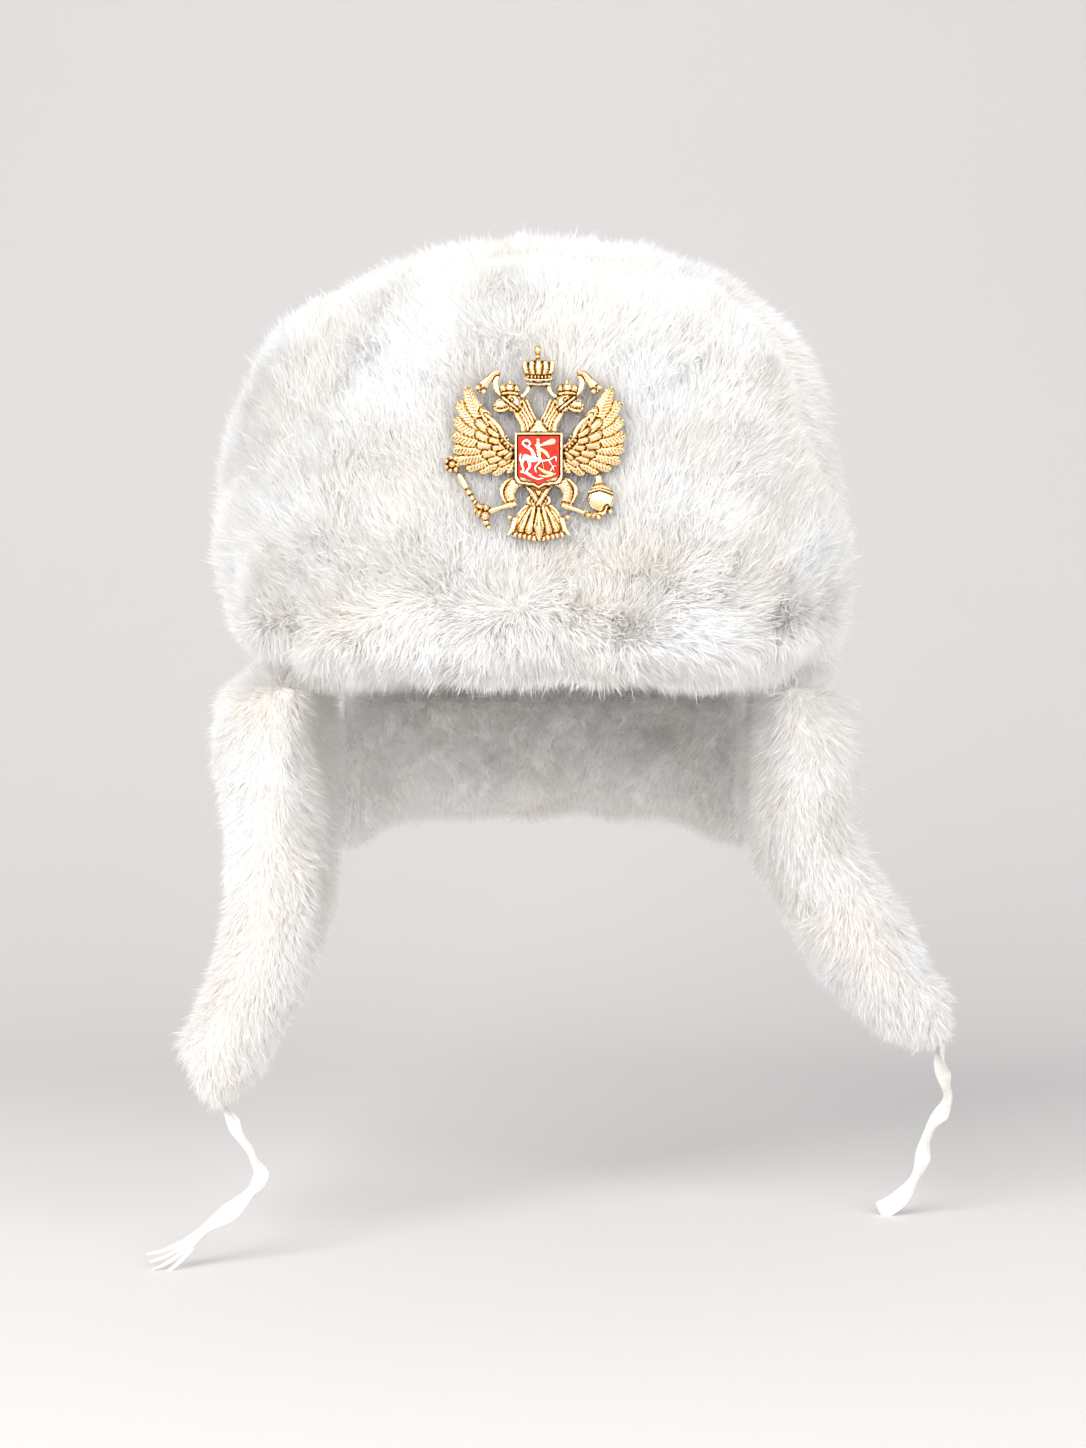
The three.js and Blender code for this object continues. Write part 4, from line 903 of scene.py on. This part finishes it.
def shield_inside(relief, half):
    """Where the shield is: straight sides, a rounded foot and a point."""
    x, y = relief.x, relief.y
    grow = half - 7.2
    foot = -13.1 - grow + 0.5 * np.abs(x) / 7.2 - 1.0 * np.clip(1 - np.abs(x) / 1.8, 0, 1)
    corner = np.clip(np.abs(x) - (half - 2), 0, 9) ** 2 / 2.2
    return (np.abs(x) < half) & (y < 3.1 + grow) & (y > foot + corner)


# Figures in the shield, each a list of lines with their widths
HORSE_LINES = [
    ([(-4.6, -4.2), (-3, -5), (-1.2, -5.2)], [2.2, 2.8, 2.2]),
    ([(-1.6, -3.8), (-2.6, -1.8), (-4.4, -0.7), (-5.6, 0.2)], [1.8, 1.4, 1.2, 0.9]),
    ([(-5.4, 0.9), (-4, 1.4), (-2.9, 0.4), (-3.4, -0.6)], [0.9, 1.1, 1, 0.7]),
    ([(-5, -4.8), (-5.8, -6.6), (-5.2, -8.6), (-6, -9.6)], [1.6, 1.2, 1, 0.8]),
    ([(-3.4, -5.8), (-3, -7.6), (-4.2, -9.4), (-2.8, -10.4)], [1.5, 1.1, 1, 1]),
    ([(-6, -9.2), (-3.6, -10.4), (-0.6, -11.8), (1.6, -11.6)], [0.8, 1, 0.9, 0.6]),
    ([(-0.6, -5), (1.4, -5.6), (3.8, -5.2), (5.8, -4.2), (6, -5.8)], [1.6, 1, 0.8, 0.7, 0.6]),
    ([(0.4, -6), (-1.2, -8), (-0.8, -9.6)], [1, 0.8, 0.7]),
    ([(3.4, -5.4), (4.8, -7.6), (5.2, -8.8)], [0.8, 0.6, 0.6]),
    ([(-6.2, -3.4), (-6.4, -5.4), (-5.8, -6.4)], [0.8, 0.9, 0.5]),
]
RIDER_LINES = [
    ([(-0.2, 1.6), (-0.2, 1.5)], [1.5, 1.5]),
    ([(-0.2, 0.6), (0, -1.6), (0.2, -3.6)], [1.6, 2, 1.6]),
    ([(0.6, -0.4), (2.8, 0.4), (4.8, 1)], [1, 2, 2.8]),
    ([(0.8, -1.6), (2.4, -2.8), (3.4, -4.2)], [1.4, 2, 1.4]),
    ([(0.2, -3.4), (0.6, -5.2), (0.2, -6.4)], [1.2, 1, 0.8]),
    ([(-1.2, 0), (-0.2, -2.4), (1.2, -6), (2, -9.6)], [0.45, 0.45, 0.45, 0.4]),
    ([(0, -8), (1.8, -9.2), (3.6, -9.8), (5.8, -10.2)], [1, 1.8, 2, 0.8]),
    ([(0.4, -10.6), (2.6, -11), (4.8, -10.6)], [0.9, 1.2, 0.9]),
    ([(4.2, -9), (5.2, -7.4), (6.2, -7.6)], [0.7, 0.6, 0.5]),
]


def make_badge(materials):
    figures = [("badge_relief", "badge_eagle", "gilt", make_badge_relief())]
    for name, node, slot, lines in (
        ("horse_relief", "badge_horse", "white_enamel", HORSE_LINES),
        ("rider_relief", "badge_rider", "gilt", RIDER_LINES),
    ):
        relief = Relief((-7, -13.2), (7, 3), FIGURE_PITCH, FIGURE_EDGE, FIGURE_GROOVE, FIELD_TOP)
        for points, widths in lines:
            relief.stroke(points, [0.85 * width for width in widths], [0.65, 0.75])
        figures.append((name, node, slot, relief))
    for name, node, slot, relief in figures:
        tag(relief.piece(name, materials[slot]), node)
    for node, slot in (("badge_post", "gilt"), ("badge_enamel", "red_enamel")):
        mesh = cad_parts[node].data
        mesh.materials.clear()
        mesh.materials.append(materials[slot])


# Stage and light, in metres and watts
FLOOR_FRONT = -2.0
FLOOR_HALF_WIDTH = 3.0
CURVE_START = 0.5  # where the floor starts to curve up
CURVE_RADIUS = 1.6
CURVE_STEPS = 24
BACKDROP_HEIGHT = 3.0
WORLD_COLOUR = (0.97, 0.98, 1.0)
WORLD_STRENGTH = 0.42
WARM = (1.0, 0.985, 0.97)
COOL = (0.8, 0.88, 1.0)
# Each light's place, what it faces, size, power and colour
LIGHTS = {
    "key": ((-1.0, -1.9, 0.8), (0, 0, -0.12), 1.6, 62, WARM),
    "fill": ((1.0, -1.9, 0.45), (0, 0, -0.15), 1.6, 34, WARM),
    "top": ((0.1, 0.3, 1.6), (0, 0, 0), 1.2, 1, COOL),
}


def make_stage():
    """Plain pale floor that curves up into the backdrop."""
    n = Nodes("pale_floor")
    colour = n.ramp(n.noise(2, 2), (0.3, (0.78, 0.76, 0.755)), (0.7, (0.79, 0.77, 0.765)))
    n.link(colour, n.shader.inputs["Base Color"])
    n.set(Roughness=0.9, Specular_IOR_Level=0.1)
    profile = [(FLOOR_FRONT, 0.0), (CURVE_START, 0.0)]
    for k in range(1, CURVE_STEPS + 1):
        turn = math.radians(90 * k / CURVE_STEPS)
        profile.append((CURVE_START + CURVE_RADIUS * math.sin(turn), CURVE_RADIUS * (1 - math.cos(turn))))
    profile.append((CURVE_START + CURVE_RADIUS, BACKDROP_HEIGHT))
    points = [(x, y, TABLE_Z + z) for y, z in profile for x in (-FLOOR_HALF_WIDTH, FLOOR_HALF_WIDTH)]
    faces = [(2 * k, 2 * k + 1, 2 * k + 3, 2 * k + 2) for k in range(len(profile) - 1)]
    floor = add_mesh("floor", points, faces, n.material)


def area_light(name, place, target, size, power, colour):
    data = bpy.data.lights.new(name, "AREA")
    data.size = size
    data.energy = power
    data.color = colour
    light = bpy.data.objects.new(name, data)
    light.location = place
    light.rotation_euler = (Vector(target) - Vector(place)).to_track_quat("-Z", "Y").to_euler()
    bpy.context.scene.collection.objects.link(light)


def make_lights():
    world = bpy.data.worlds.new("studio")
    world.use_nodes = True
    background = world.node_tree.nodes["Background"]
    background.inputs["Color"].default_value = (*WORLD_COLOUR, 1)
    background.inputs["Strength"].default_value = WORLD_STRENGTH
    bpy.context.scene.world = world
    for name, light in LIGHTS.items():
        area_light(name, *light)
    bpy.context.scene.view_settings.view_transform = "Standard"


make_camera()
materials = {
    "fur": fur_material(),
    "underfur": underfur_material(),
    "lining": lining_material(),
    "tape": tape_material(),
    "gilt": gilt_material(),
    "red_enamel": enamel_material("red_enamel", (0.46, 0.02, 0.01), (0.56, 0.035, 0.015)),
    "white_enamel": enamel_material("white_enamel", (0.82, 0.80, 0.78), (0.9, 0.89, 0.87)),
}
make_tie("left_tape", "tie_left", LEFT_TIE, LEFT_TURNS, LEFT_WIDTHS, 4, materials["tape"])
make_tie("right_tape", "tie_right", RIGHT_TIE, RIGHT_TURNS, RIGHT_WIDTHS, 0, materials["tape"])
eagle = bvh_of("badge_eagle")
flap = bvh_of("front_flap")
for node, spec in FUR.items():
    fur_piece(node, spec, materials, eagle, flap if node == "crown" else None)
make_badge(materials)
make_stage()
make_lights()
